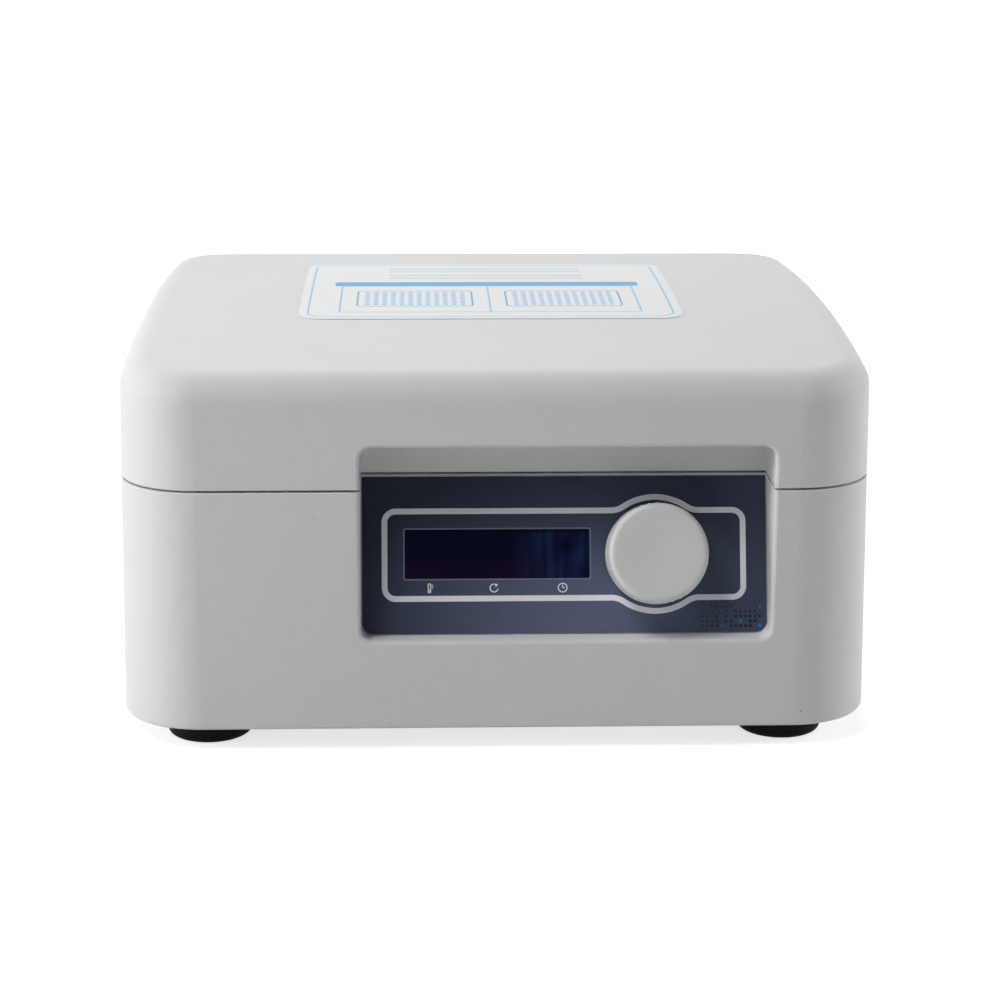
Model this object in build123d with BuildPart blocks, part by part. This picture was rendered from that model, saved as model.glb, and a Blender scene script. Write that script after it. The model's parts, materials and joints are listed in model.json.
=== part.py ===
"""Two-plate thermo shaker: a heated orbital platform under a hinged, heated lid.

Frame: origin under the middle of the case, on the surface it stands on.
+Z is up, +X is to the right of someone facing the control panel, the panel looks towards -Y.
All lengths are millimetres and all angles are degrees.
"""
import os
from math import atan2, cos, degrees, radians, sin, sqrt, tan

from build123d import *

# ---------------------------------------------------------------- driving dimensions
# Case
case_width = 270.0          # across the side walls at the foot of the lid's edge rounding
case_depth = 255.5          # front to back, at the same level
case_height = 144.9         # crest of the lid above the table
case_underside = 8.6        # lower rim of the case above the table
part_line = 97.8            # middle of the joint between base and lid
part_gap = 0.8              # open joint between base and lid
case_draft = 0.97           # every wall leans outwards going down
side_bow = 2.1              # the side walls bulge this much at mid-depth
corner_front = 28.0
corner_rear = 26.5
crown_drop = 5.5            # the lid's crest stands this far above its front and rear edges
lid_edge_round = 10.8
wall = 3.0
lower_rim_round = 1.2
joint_round = 0.5           # edges of base and lid where they meet
boss_wide = 14.0            # blocks that take the bottom plate's screws
boss_deep = 10.0
boss_high = 18.0
boss_inset = 5.0
boss_from_corner = 30.0
pocket_step = 0.2           # step between the liner's pocket and the wall above it

# Recess for the control panel, shared by base and lid
recess_left = -49.3
recess_width = 148.2
recess_bottom = 41.8
recess_top = 113.5
recess_corner = 4.5
mouth_round = 1.2           # the recess opens out this much at the front face
panel_wall = 2.5
panel_tilt = 18.1           # the panel leans back by this much
panel_foot_setback = 7.9    # panel wall behind the front face, at the sill

# Control panel
overlay_thick = 0.5
overlay_gap = 0.35
overlay_top_gap = 0.9
window_width = 67.4
window_height = 17.9
window_x = 0.25
window_up = 29.3
window_thick = 1.5
window_lap = 1.8
knob_x = 57.9
knob_up = 29.0
knob_dia = 36.0
knob_height = 17.0          # face above the overlay
knob_flare = 0.4
knob_wall = 2.6
knob_round = 2.0
knob_dish = 0.5
push_travel = 0.5
encoder_shaft_dia = 6.0
encoder_body = 14.0
encoder_neck_dia = 7.0
encoder_neck_high = 2.6     # thread above the overlay
encoder_lid = 2.0
cavity_dia = 9.0
slider_thick = 1.6
push_spare = 0.15
nut_high = 2.0
nut_dia = 11.0
shaft_cover = 4.0           # shaft end below the knob's face
knob_hub_wall = 2.2
knob_rim_flat = 1.0
board_thick = 1.6
board_screw_dia = 2.5
panel_boss_dia = 6.0
panel_boss_high = 9.5
board_left = -47.0
board_right = 74.0
board_low = 5.0
board_high = 53.0
board_corner = 1.5
board_screw_inset = 4.0
window_corner = 0.8
window_play = 0.4
lcd_board_wide = 80.0
lcd_board_high = 36.0
lcd_bezel_deep = 6.5
lcd_bezel_lip = 1.2
lcd_glass_drop = 0.8
pin_strip_long = 41.0
pin_strip_wide = 2.5
pin_strip_inset = 3.0
pin_strip_x = -8.0
socket_block = (-20.0, 14.0, 20.0, 6.0)     # place on the panel board, then size
chip_block = (12.0, 34.0, 10.0, 10.0)
block_high = 3.0

# Feet
foot_dia = 32.6
foot_taper = 4.5
foot_inset_side = 28.9
foot_inset_front = 22.3
foot_inset_rear = 24.0
foot_edge_round = 2.2
foot_head_up = 5.0

# Sheet metal
bottom_plate_thick = 1.5
bottom_plate_recess = 2.0
drive_plate_thick = 3.0
pillar_x = 92.0
pillar_y = 60.0
pillar_dia = 10.0
plate_corner = 8.0
plate_margin = 8.0          # drive plate beyond the pillars' axes
vent_long = 26.0
vent_wide = 3.0
vent_pitch = 6.0
vent_count = 7
vent_row = 38.0

# Chamber, platform and plates
plate_width = 85.48         # microplate footprint, short side
plate_length = 127.76       # microplate footprint, long side
plate_play = 0.3
seat_rib = 5.0
centre_rib = 6.0
seat_rib_height = 3.0
block_thick = 8.0
mat_thick = 1.0
foam_thick = 4.0
carrier_thick = 8.0
block_screw_dia = 4.0
block_head_dia = 7.0
block_head_high = 2.4
clamp_step = 1.0            # the strip under the clamps lies this far below the seats
block_screw_y = 52.0
platform_corner = 6.0
mat_margin = 1.0
chamber_y = 11.0            # middle of the chamber
chamber_side_gap = 9.9
chamber_end_gap = 11.3
tub_wall = 2.5
tub_flange = 3.0
tub_ledge = 5.0
tub_floor_top = 57.5
tub_rib_long = 20.0
tub_rib_wide = 3.0
tub_rib_y = 8.0
chamber_corner = 12.0
floor_gap = 2.0             # between the drive plate and the tub's floor

# Orbital drive
orbit_radius = 1.5
fit_gap = 0.05              # radial running clearance of a shaft
seat_gap = 0.02             # radial clearance of a seated ring
drive_shaft_dia = 8.0
crank_pin_dia = 8.0
crank_hub_dia = 22.0
counterweight_dia = 60.0
motor_dia = 56.0
motor_height = 28.0
idler_pin_dia = 6.0
idler_web_dia = 18.0
idler_x = 70.0
idler_y = 45.0
web_thick = 4.0
hub_thick = 5.0
cup_wall = 2.0
cup_floor = 2.0
motor_screw_radius = 17.0
motor_back = 3.0
motor_round = 2.0
shaft_clear = 3.0           # radial, shaft in the plates it passes through
pin_clear = 2.0
lower_bearing_dia = 19.0
lower_bearing_high = 9.0
upper_bearing_dia = 15.0
crank_bearing_dia = 19.0
upper_bearing_high = 5.0

# Electronics on the bottom plate
spacer_high = 6.0
spacer_dia = 6.0
electronics_x = 60.0        # main board on the left, power supply on the right
electronics_y = 9.0
main_board_wide = 48.0
main_board_long = 98.0
supply_wide = 50.0
supply_long = 98.0
supply_high = 24.0
supply_slot_long = 34.0
supply_slot_wide = 2.5
supply_slot_pitch = 8.0
supply_slot_deep = 2.0
supply_slots = 9
terminal_wide = 40.0
terminal_high = 10.0
terminal_deep = 8.0
fin_gap = 2.0
fin_root = 4.0
fin_slots = 4

# Plate clamps
clamp_width = 40.0
clamp_deep = 6.5
clamp_high = 9.0
clamp_travel = 3.5
clamp_back_gap = 2.7        # left behind the clamp when it is pushed back
clamp_wall = 3.0
clamp_lead = 1.5
spring_dia = 5.0
spring_wire = 0.7
spring_pocket = 4.0
spring_spacing = 24.0
spring_turns = 5
clamp_tab_high = 3.0

# Lid interior
liner_wall = 2.0
liner_flange = 2.5
lid_boss_dia = 8.0
lid_boss_gap = 12.5         # from the chamber's walls to the bosses' axes
chamber_headroom = 20.0     # lid ceiling above the joint
lid_plate_thick = 3.0
gasket_wide = 5.0
gasket_off = 2.0            # outside the chamber's edge
label_width = 147.7
label_depth = 121.5
label_y = 11.5
label_thick = 0.2
label_lift = 0.1            # adhesive under the label
label_corner = 9.0

# Hinges
hinge_from_side = 55.0
hinge_width = 30.0
hinge_leaf = 2.0
hinge_leaf_high = 20.0
knuckle_radius = 3.0
knuckle_stand_off = 0.35
hinge_pin_dia = 3.0
hinge_side_gap = 0.3
hinge_screw_pitch = 16.0

# Power inlet on the rear wall
inlet_from_side = 60.0
inlet_z = 34.0
inlet_flange_wide = 60.0
inlet_flange_high = 36.0
inlet_flange_thick = 2.0
inlet_flange_corner = 3.0
inlet_body_corner = 1.5
inlet_body_wide = 48.0
inlet_body_high = 28.0
inlet_body_deep = 24.0
socket_wide = 25.6
socket_high = 17.6
socket_deep = 17.0
socket_dx = -9.0
socket_dz = 2.5
blade_wide = 2.0
blade_high = 4.0
blade_pitch = 7.0
blade_recess = 3.5
rocker_dx = 15.5
rocker_wide = 12.4
rocker_high = 18.4
rocker_tilt = 8.0
rocker_well = 8.5
rocker_play = 0.7           # above and below the rocker, for its swing
rocker_crown = 3.4          # height of its two ends over its axis
rocker_waist = 2.2
rocker_root = 4.0
rocker_pivot_in = 1.5
trunnion_dia = 3.0
trunnion_long = 1.2
drawer_wide = 22.0
drawer_high = 5.6
drawer_hold = 2.0           # stays in its slot when pulled right out
drawer_dz = -10.3
drawer_travel = 18.0
drawer_lip = 1.0
drawer_wall = 0.8
fuse_long = 20.0
fuse_dia = 4.0

# Fasteners
m3_dia = 3.0
m3_long = 10.0
m3_head_dia = 5.6
m3_head_high = 1.6
m4_dia = 4.0
m4_long = 8.0
m4_head_dia = 7.0
m4_head_high = 2.0
board_screw_head_dia = 4.6
board_screw_head_high = 1.6
board_screw_long = 5.5
drive_small = 2.0           # hexagon recesses in the heads
drive_medium = 2.5
drive_large = 3.0

# Shared small clearances
slip = 0.3                  # between pieces that move past each other
seat = 0.4                  # around a plate laid in a pocket
hole_gap = 0.25             # radial, screw shank in a plain hole

os.makedirs("parts", exist_ok=True)

# ---------------------------------------------------------------- derived levels and places
base_top = part_line - part_gap / 2
lid_bottom = part_line + part_gap / 2
draft_slope = tan(radians(case_draft))
round_level = case_height - lid_edge_round
crown_radius = ((case_depth / 2) ** 2 + crown_drop ** 2) / (2 * crown_drop)


def case_growth(level):
    """How far the case stands outside its plan size at a level."""
    return (round_level - level) * draft_slope


def front_face(level):
    return -case_depth / 2 - case_growth(level)


def rear_face(level):
    return case_depth / 2 + case_growth(level)


tilt_cos = cos(radians(panel_tilt))
tilt_sin = sin(radians(panel_tilt))
panel_foot_y = front_face(recess_bottom) + panel_foot_setback
panel_high = (base_top - recess_bottom) / tilt_cos


def panel_y(level, behind=0.0):
    """Y of the tilted panel wall at a level, or of a face that far behind it."""
    return panel_foot_y + (level - recess_bottom) * tan(radians(panel_tilt)) + behind / tilt_cos


recess_middle = recess_left + recess_width / 2
deck_front_y = panel_y(part_line, panel_wall) + seat

panel_normal = (0, -tilt_cos, tilt_sin)
panel_plane = Plane(origin=(0, panel_foot_y, recess_bottom), x_dir=(1, 0, 0), z_dir=panel_normal)
knob_centre = panel_plane.from_local_coords((knob_x, knob_up, 0))
knob_side = Plane(origin=knob_centre, x_dir=(1, 0, 0), z_dir=(0, -tilt_sin, -tilt_cos))
knob_axis = Axis(knob_centre, panel_normal)

plate_bottom = case_underside + bottom_plate_recess
plate_top = plate_bottom + bottom_plate_thick
tub_floor = tub_floor_top - tub_wall
drive_plate_top = tub_floor - floor_gap
drive_plate_bottom = drive_plate_top - drive_plate_thick

web_bottom = tub_floor_top + 1.0
carrier_bottom = web_bottom + hub_thick + 1.0
carrier_top = carrier_bottom + carrier_thick
foam_top = carrier_top + foam_thick
mat_top = foam_top + mat_thick
seat_level = mat_top + block_thick
bearing_bottom = carrier_bottom + 0.5
bearing_top = bearing_bottom + upper_bearing_high

seat_wide = plate_width + 2 * plate_play
seat_long = plate_length + 2 * plate_play
clamp_zone = clamp_wall + clamp_back_gap + clamp_travel + clamp_deep + slip
clamp_floor = seat_level - clamp_step
clamp_base = clamp_floor + slip / 2
block_wide = 2 * seat_wide + centre_rib + 2 * seat_rib
block_long = clamp_zone + seat_long + seat_rib
block_front = chamber_y - block_long / 2
seat_front = block_front + clamp_zone
seat_x = (seat_wide + centre_rib) / 2

chamber_wide = block_wide + 2 * chamber_side_gap
chamber_long = block_long + 2 * chamber_end_gap
flange_bottom = base_top - tub_flange

liner_bottom = lid_bottom + seat
liner_top = part_line + chamber_headroom
lid_mat_bottom = liner_top - liner_wall - mat_thick
lid_plate_bottom = lid_mat_bottom - lid_plate_thick

hinge_x = case_width / 2 - hinge_from_side
hinge_y = rear_face(part_line) + knuckle_stand_off + knuckle_radius
inlet_x = inlet_from_side - case_width / 2

base_hinge_points = [
    (side * hinge_x + dx, part_line - hinge_leaf_high / 2 - knuckle_radius / 2)
    for side in (-1, 1)
    for dx in (-hinge_screw_pitch / 2, hinge_screw_pitch / 2)
]
lid_hinge_points = [(x, 2 * part_line - z) for x, z in base_hinge_points]
panel_board_points = [
    (x, y)
    for x in (board_left + board_screw_inset, board_right - board_screw_inset)
    for y in (board_low + board_screw_inset, board_high - board_screw_inset)
]


def keep(name, piece):
    """Label a finished piece and write it as its own STEP file."""
    piece.label = name
    export_step(piece, f"parts/{name}.step")


# ---------------------------------------------------------------- shared forms
def case_outline(level, inset=0.0):
    """Plan outline of the case at a level: straight ends, bowed sides, round corners."""
    half_x = case_width / 2 + case_growth(level) - inset
    half_y = case_depth / 2 + case_growth(level) - inset
    with BuildSketch(Plane.XY.offset(level)) as outline:
        with BuildLine():
            Line((-half_x, -half_y), (half_x, -half_y))
            ThreePointArc((half_x, -half_y), (half_x + side_bow, 0), (half_x, half_y))
            Line((half_x, half_y), (-half_x, half_y))
            ThreePointArc((-half_x, half_y), (-half_x - side_bow, 0), (-half_x, -half_y))
        make_face()
        fillet(outline.vertices().group_by(Axis.Y)[-1], corner_rear + case_growth(level) - inset)
        fillet(outline.vertices().group_by(Axis.Y)[0], corner_front + case_growth(level) - inset)
    return outline.sketch


def case_form(inset, bottom):
    """The whole case as one solid, drafted and crowned, its skin moved in by an inset."""
    with BuildPart() as form:
        extrude(case_outline(bottom, inset), amount=case_height + 4 - bottom, taper=case_draft)
        with BuildSketch(Plane.YZ):
            with Locations((0, case_height - crown_radius)):
                Circle(crown_radius - inset)
        extrude(amount=case_width, both=True, mode=Mode.INTERSECT)
        top_edges = form.faces().sort_by(Axis.Z)[-1].edges()
        fillet(top_edges, lid_edge_round - inset)
    return form.part


def recess_form(grow):
    """The panel recess as a solid, or with its walls when grown: sill, tilted back, finger notch."""
    ahead = front_face(case_underside) - 30
    with BuildPart() as form:
        with BuildSketch(Plane.YZ.offset(recess_left - grow)):
            with BuildLine():
                Polyline(
                    (ahead, recess_bottom - grow),
                    (panel_y(recess_bottom - grow, grow), recess_bottom - grow),
                    (panel_y(part_line, grow), part_line),
                    (panel_y(part_line, grow), recess_top + grow),
                    (ahead, recess_top + grow),
                    close=True,
                )
            make_face()
        extrude(amount=recess_width + 2 * grow)
        fillet(form.edges().filter_by(Axis.Y), recess_corner + grow)
    return form.part


def mouth_form():
    """What rounds the recess's edge at the drafted front face, as two tapered cuts."""
    high = (recess_top - recess_bottom) / cos(radians(case_draft))
    face = Plane(
        origin=((2 * recess_left + recess_width) / 2, front_face(recess_bottom), recess_bottom),
        x_dir=(1, 0, 0),
        z_dir=(0, -1, draft_slope),
    )
    flat = mouth_round * (1 - cos(radians(45))) * sqrt(2)
    with BuildPart() as form:
        for grow, deep in ((mouth_round, flat), (flat, mouth_round)):
            with BuildSketch(face):
                with Locations((0, high / 2)):
                    RectangleRounded(recess_width + 2 * grow, high + 2 * grow, recess_corner + grow)
            extrude(amount=-deep * (grow + slip) / grow, taper=degrees(atan2(grow, deep)))
    return form.part


outer_form = case_form(0, case_underside)
inner_form = case_form(wall, case_underside - 1)
recess_space = recess_form(0)
mouth_space = mouth_form()
recess_shell = recess_form(panel_wall)


def screw_set(places, head_dia, head_high, shank_dia, shank_long, drive):
    """Screws whose heads stand on the given planes and whose shanks go the other way."""
    with BuildPart() as screws:
        for place in places:
            with BuildSketch(place):
                Circle(head_dia / 2)
            extrude(amount=head_high)
            with BuildSketch(place):
                Circle(shank_dia / 2)
            extrude(amount=-shank_long)
            with BuildSketch(place.offset(head_high)):
                RegularPolygon(drive / 2, 6)
            extrude(amount=-head_high * 0.6, mode=Mode.SUBTRACT)
    return screws.part


def up_planes(points, level):
    return [Plane(origin=(x, y, level)) for x, y in points]


def down_planes(points, level):
    return [Plane(origin=(x, y, level), x_dir=(1, 0, 0), z_dir=(0, 0, -1)) for x, y in points]


def corners(x, y, middle_y=0.0):
    return [(-x, middle_y - y), (x, middle_y - y), (-x, middle_y + y), (x, middle_y + y)]


# ---------------------------------------------------------------- base shell
boss_y = case_depth / 2 - corner_rear - boss_from_corner
boss_x = case_width / 2 - boss_inset
boss_points = [(side * boss_x, y) for side in (-1, 1) for y in (-boss_y, 0, boss_y)]

with BuildPart() as base_hollow:
    add(inner_form)
    split(bisect_by=Plane.XY.offset(flange_bottom - wall), keep=Keep.BOTTOM)

with BuildPart() as recess_walls:
    add(recess_shell)
    add(outer_form, mode=Mode.INTERSECT)

with BuildPart() as base_shell:
    add(outer_form)
    split(bisect_by=Plane.XY.offset(base_top), keep=Keep.BOTTOM)
    fillet(base_shell.faces().sort_by(Axis.Z)[0].edges(), lower_rim_round)
    fillet(base_shell.faces().sort_by(Axis.Z)[-1].edges(), joint_round)
    add(base_hollow.part, mode=Mode.SUBTRACT)
    # opening inside the ledge, then the pocket above it for the tub's flange
    for inset, low, front in (
        (wall + tub_ledge, flange_bottom - wall - 1, deck_front_y + tub_ledge),
        (wall, flange_bottom, deck_front_y),
    ):
        with BuildSketch(Plane.XY.offset(low)):
            add(case_outline(low, inset))
            with Locations((0, front - case_depth)):
                Rectangle(2 * case_width, 2 * case_depth, mode=Mode.SUBTRACT)
        extrude(amount=base_top + 1 - low, mode=Mode.SUBTRACT)
    add(recess_walls.part)
    add(recess_space, mode=Mode.SUBTRACT)
    add(mouth_space, mode=Mode.SUBTRACT)
    split(bisect_by=Plane.XY.offset(base_top), keep=Keep.BOTTOM)
    # openings in the panel wall: window and encoder neck
    with BuildSketch(panel_plane):
        with Locations((window_x, window_up)):
            Rectangle(window_width + 2 * window_lap, window_height + 2 * window_lap)
        with Locations((knob_x, knob_up)):
            Circle(encoder_neck_dia / 2 + hole_gap)
    extrude(amount=panel_wall * 3, both=True, mode=Mode.SUBTRACT)
    # bosses behind the panel for its circuit board
    with BuildSketch(panel_plane.offset(-panel_wall)):
        with Locations(*panel_board_points):
            Circle(panel_boss_dia / 2)
    extrude(amount=-panel_boss_high)
    with BuildSketch(panel_plane.offset(-panel_wall - panel_boss_high)):
        with Locations(*panel_board_points):
            Circle(board_screw_dia / 2 + fit_gap)
    extrude(amount=panel_boss_high - 1, mode=Mode.SUBTRACT)
    # bosses for the bottom plate's screws
    with BuildSketch(Plane.XY.offset(plate_top)):
        with Locations(*boss_points):
            Rectangle(boss_wide, boss_deep)
    extrude(amount=boss_high)
    with BuildSketch(Plane.XY.offset(plate_top)):
        with Locations(*boss_points):
            Circle(m3_dia / 2 + fit_gap)
    extrude(amount=m3_long + 2, mode=Mode.SUBTRACT)
    # opening for the power inlet in the rear wall, and holes for the hinge screws
    with BuildSketch(Plane.XZ.offset(-case_depth / 2)):
        with Locations((inlet_x, inlet_z)):
            Rectangle(inlet_body_wide + 2 * slip, inlet_body_high + 2 * slip)
        with Locations(*base_hinge_points):
            Circle(m3_dia / 2 + fit_gap)
    extrude(amount=wall * 4, both=True, mode=Mode.SUBTRACT)
keep("base_shell", base_shell.part)

# ---------------------------------------------------------------- bottom plate, feet
foot_points = [
    (side * (case_width / 2 - foot_inset_side), y)
    for y in (-case_depth / 2 + foot_inset_front, case_depth / 2 - foot_inset_rear)
    for side in (-1, 1)
]
pillar_points = corners(pillar_x, pillar_y, chamber_y)
board_hole_x = main_board_wide / 2 - board_screw_inset
board_hole_y = main_board_long / 2 - board_screw_inset
main_board_points = [(x - electronics_x, y) for x, y in corners(board_hole_x, board_hole_y, electronics_y)]

with BuildPart() as bottom_plate:
    with BuildSketch(Plane.XY.offset(plate_bottom)):
        add(case_outline(plate_bottom, wall + seat))
        with Locations((0, chamber_y)):
            with GridLocations(vent_pitch, 2 * vent_row, vent_count, 2):
                SlotOverall(vent_long, vent_wide, rotation=90, mode=Mode.SUBTRACT)
        with Locations(*boss_points):
            Circle(m3_dia / 2 + hole_gap, mode=Mode.SUBTRACT)
        with Locations(*foot_points):
            Circle(m4_dia / 2 + fit_gap, mode=Mode.SUBTRACT)
        with Locations(*pillar_points):
            Circle(m4_dia / 2 + hole_gap, mode=Mode.SUBTRACT)
    extrude(amount=bottom_plate_thick)
    # standoffs pressed into the sheet for the main board
    with BuildSketch(Plane.XY.offset(plate_top)):
        with Locations(*main_board_points):
            Circle(spacer_dia / 2)
            Circle(board_screw_dia / 2 + fit_gap, mode=Mode.SUBTRACT)
    extrude(amount=spacer_high)
keep("bottom_plate", bottom_plate.part)

foot_names = ("front_left", "front_right", "rear_left", "rear_right")
for foot_name, (x, y) in zip(foot_names, foot_points):
    with BuildPart() as foot:
        with BuildSketch(Plane(origin=(x, y, plate_bottom))):
            Circle(foot_dia / 2)
        extrude(amount=-plate_bottom, taper=foot_taper)
        fillet(foot.faces().sort_by(Axis.Z)[0].edges(), foot_edge_round)
        with BuildSketch(Plane(origin=(x, y, 0))):
            Circle(m4_head_dia / 2 + hole_gap)
        extrude(amount=foot_head_up, mode=Mode.SUBTRACT)
        with BuildSketch(Plane(origin=(x, y, 0))):
            Circle(m4_dia / 2 + hole_gap)
        extrude(amount=plate_bottom, mode=Mode.SUBTRACT)
    keep(f"foot_{foot_name}", foot.part)

# ---------------------------------------------------------------- control panel
with BuildPart() as panel_overlay:
    with BuildSketch(panel_plane):
        with Locations((recess_middle, (overlay_gap + panel_high - overlay_top_gap) / 2)):
            Rectangle(recess_width - 2 * overlay_gap, panel_high - overlay_top_gap - overlay_gap)
    extrude(amount=overlay_thick)
    lower = panel_overlay.edges().filter_by(Axis(knob_centre, panel_normal)).group_by(Axis.Z)[0]
    fillet(lower, recess_corner - overlay_gap)
    with BuildSketch(panel_plane):
        with Locations((window_x, window_up)):
            RectangleRounded(window_width, window_height, window_corner)
        with Locations((knob_x, knob_up)):
            Circle(encoder_neck_dia / 2 + hole_gap)
    extrude(amount=overlay_thick, mode=Mode.SUBTRACT)
keep("panel_overlay", panel_overlay.part)

window_plate_wide = window_width + 2 * window_lap - window_play
window_plate_high = window_height + 2 * window_lap - window_play

with BuildPart() as display_window:
    with BuildSketch(panel_plane):
        with Locations((window_x, window_up)):
            Rectangle(window_plate_wide, window_plate_high)
    extrude(amount=-window_thick)
keep("display_window", display_window.part)

lcd_front = -window_thick - 0.1
lcd_board_front = lcd_front - lcd_bezel_deep
panel_board_front = -panel_wall - panel_boss_high

with BuildPart() as display_module:
    # metal bezel with the glass behind it
    with BuildSketch(panel_plane.offset(lcd_front)):
        with Locations((window_x, window_up)):
            Rectangle(window_plate_wide - window_play, window_plate_high - window_play)
    extrude(amount=-lcd_bezel_deep)
    with BuildSketch(panel_plane.offset(lcd_front)):
        with Locations((window_x, window_up)):
            Rectangle(window_width - 2 * lcd_bezel_lip, window_height - 2 * lcd_bezel_lip)
    extrude(amount=-lcd_glass_drop, mode=Mode.SUBTRACT)
    # its own board and the pin strip down to the panel board
    with BuildSketch(panel_plane.offset(lcd_board_front)):
        with Locations((window_x, window_up)):
            Rectangle(lcd_board_wide, lcd_board_high)
    extrude(amount=-board_thick)
    with BuildSketch(panel_plane.offset(lcd_board_front - board_thick)):
        with Locations((window_x + pin_strip_x, window_up + lcd_board_high / 2 - pin_strip_inset)):
            Rectangle(pin_strip_long, pin_strip_wide)
    extrude(amount=-(lcd_board_front - board_thick - panel_board_front))
keep("display_module", display_module.part)

with BuildPart() as panel_board:
    with BuildSketch(panel_plane.offset(panel_board_front)):
        with Locations(((board_left + board_right) / 2, (board_low + board_high) / 2)):
            RectangleRounded(board_right - board_left, board_high - board_low, board_corner)
        with Locations(*panel_board_points):
            Circle(board_screw_dia / 2 + hole_gap, mode=Mode.SUBTRACT)
    extrude(amount=-board_thick)
    # cable socket and controller chip on its rear face
    with BuildSketch(panel_plane.offset(panel_board_front - board_thick)):
        for x, y, wide, high in (socket_block, chip_block):
            with Locations((x, y)):
                Rectangle(wide, high)
    extrude(amount=-block_high)
keep("panel_board", panel_board.part)

# ---------------------------------------------------------------- encoder and knob
housing_top = -panel_wall - 0.2
cavity_top = housing_top - encoder_lid
slider_dia = cavity_dia - 4 * fit_gap
slider_top = cavity_top - slip
dome_gap = push_travel + push_spare
neck_out = overlay_thick + encoder_neck_high

with BuildPart() as encoder_housing:
    with BuildSketch(panel_plane.offset(panel_board_front)):
        with Locations((knob_x, knob_up)):
            Rectangle(encoder_body, encoder_body)
    extrude(amount=housing_top - panel_board_front)
    with BuildSketch(panel_plane.offset(housing_top)):
        with Locations((knob_x, knob_up)):
            Circle(encoder_neck_dia / 2)
    extrude(amount=neck_out - housing_top)
    # shaft bore and slider chamber, with the switch dome standing in its floor
    with BuildSketch(panel_plane.offset(cavity_top)):
        with Locations((knob_x, knob_up)):
            Circle(encoder_shaft_dia / 2 + fit_gap)
    extrude(amount=neck_out - cavity_top, mode=Mode.SUBTRACT)
    with BuildSketch(panel_plane.offset(cavity_top)):
        with Locations((knob_x, knob_up)):
            Circle(cavity_dia / 2)
    extrude(amount=-(slip + slider_thick + dome_gap), mode=Mode.SUBTRACT)
keep("encoder_housing", encoder_housing.part)

with BuildPart() as encoder_nut:
    with BuildSketch(panel_plane.offset(overlay_thick)):
        with Locations((knob_x, knob_up)):
            RegularPolygon(nut_dia / 2, 6)
            Circle(encoder_neck_dia / 2 + seat_gap, mode=Mode.SUBTRACT)
    extrude(amount=nut_high)
keep("encoder_nut", encoder_nut.part)

with BuildPart() as encoder_slider:
    with BuildSketch(panel_plane.offset(slider_top)):
        with Locations((knob_x, knob_up)):
            Circle(slider_dia / 2)
    extrude(amount=-slider_thick)
keep("encoder_slider", encoder_slider.part)

shaft_bottom = slider_top + fit_gap
shaft_top = overlay_thick + knob_height - shaft_cover

with BuildPart() as encoder_shaft:
    with BuildSketch(panel_plane.offset(shaft_bottom)):
        with Locations((knob_x, knob_up)):
            Circle(encoder_shaft_dia / 2)
    extrude(amount=shaft_top - shaft_bottom)
keep("encoder_shaft", encoder_shaft.part)

knob_low = overlay_thick + push_travel + slip
knob_top = overlay_thick + knob_height
knob_roof = knob_top - knob_wall
hub_radius = encoder_shaft_dia / 2 + knob_hub_wall
hub_low = neck_out + push_travel + slip
rim_centre = knob_dia / 2 - knob_round
dish_start = rim_centre - knob_rim_flat
dish_radius = (dish_start ** 2 + knob_dish ** 2) / (2 * knob_dish)
dish_centre = knob_top - knob_dish + dish_radius
round_mid = knob_round * cos(radians(45))

with BuildPart() as control_knob:
    with BuildSketch(knob_side):
        with BuildLine():
            Polyline(
                (0, knob_top - knob_dish),
                (0, shaft_top + slip),
                (encoder_shaft_dia / 2 + seat_gap, shaft_top + slip),
                (encoder_shaft_dia / 2 + seat_gap, hub_low),
                (hub_radius, hub_low),
                (hub_radius, knob_roof),
                (knob_dia / 2 - knob_wall, knob_roof),
                (knob_dia / 2 - knob_wall, knob_low),
                (knob_dia / 2 + knob_flare, knob_low),
                (knob_dia / 2, knob_top - knob_round),
            )
            ThreePointArc(
                (knob_dia / 2, knob_top - knob_round),
                (rim_centre + round_mid, knob_top - knob_round + round_mid),
                (rim_centre, knob_top),
            )
            Line((rim_centre, knob_top), (dish_start, knob_top))
            ThreePointArc(
                (dish_start, knob_top),
                (dish_start / 2, dish_centre - sqrt(dish_radius ** 2 - (dish_start / 2) ** 2)),
                (0, knob_top - knob_dish),
            )
        make_face()
    revolve(axis=knob_axis)
keep("control_knob", control_knob.part)

# ---------------------------------------------------------------- power inlet on the rear wall
inlet_face = rear_face(inlet_z) + inlet_flange_thick
rocker_pivot_y = inlet_face - rocker_pivot_in
rocker_x = inlet_x + rocker_dx
socket_x = inlet_x + socket_dx
socket_z = inlet_z + socket_dz
drawer_z = inlet_z + drawer_dz
drawer_deep = drawer_travel + drawer_hold
rear_plane = Plane.XZ.offset(-inlet_face)
blade_level = socket_z - blade_high / 2
blade_points = [
    (socket_x - blade_pitch, blade_level),
    (socket_x + blade_pitch, blade_level),
    (socket_x, blade_level + blade_high),
]
fuse_y = inlet_face - drawer_deep / 2 - drawer_lip

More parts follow.
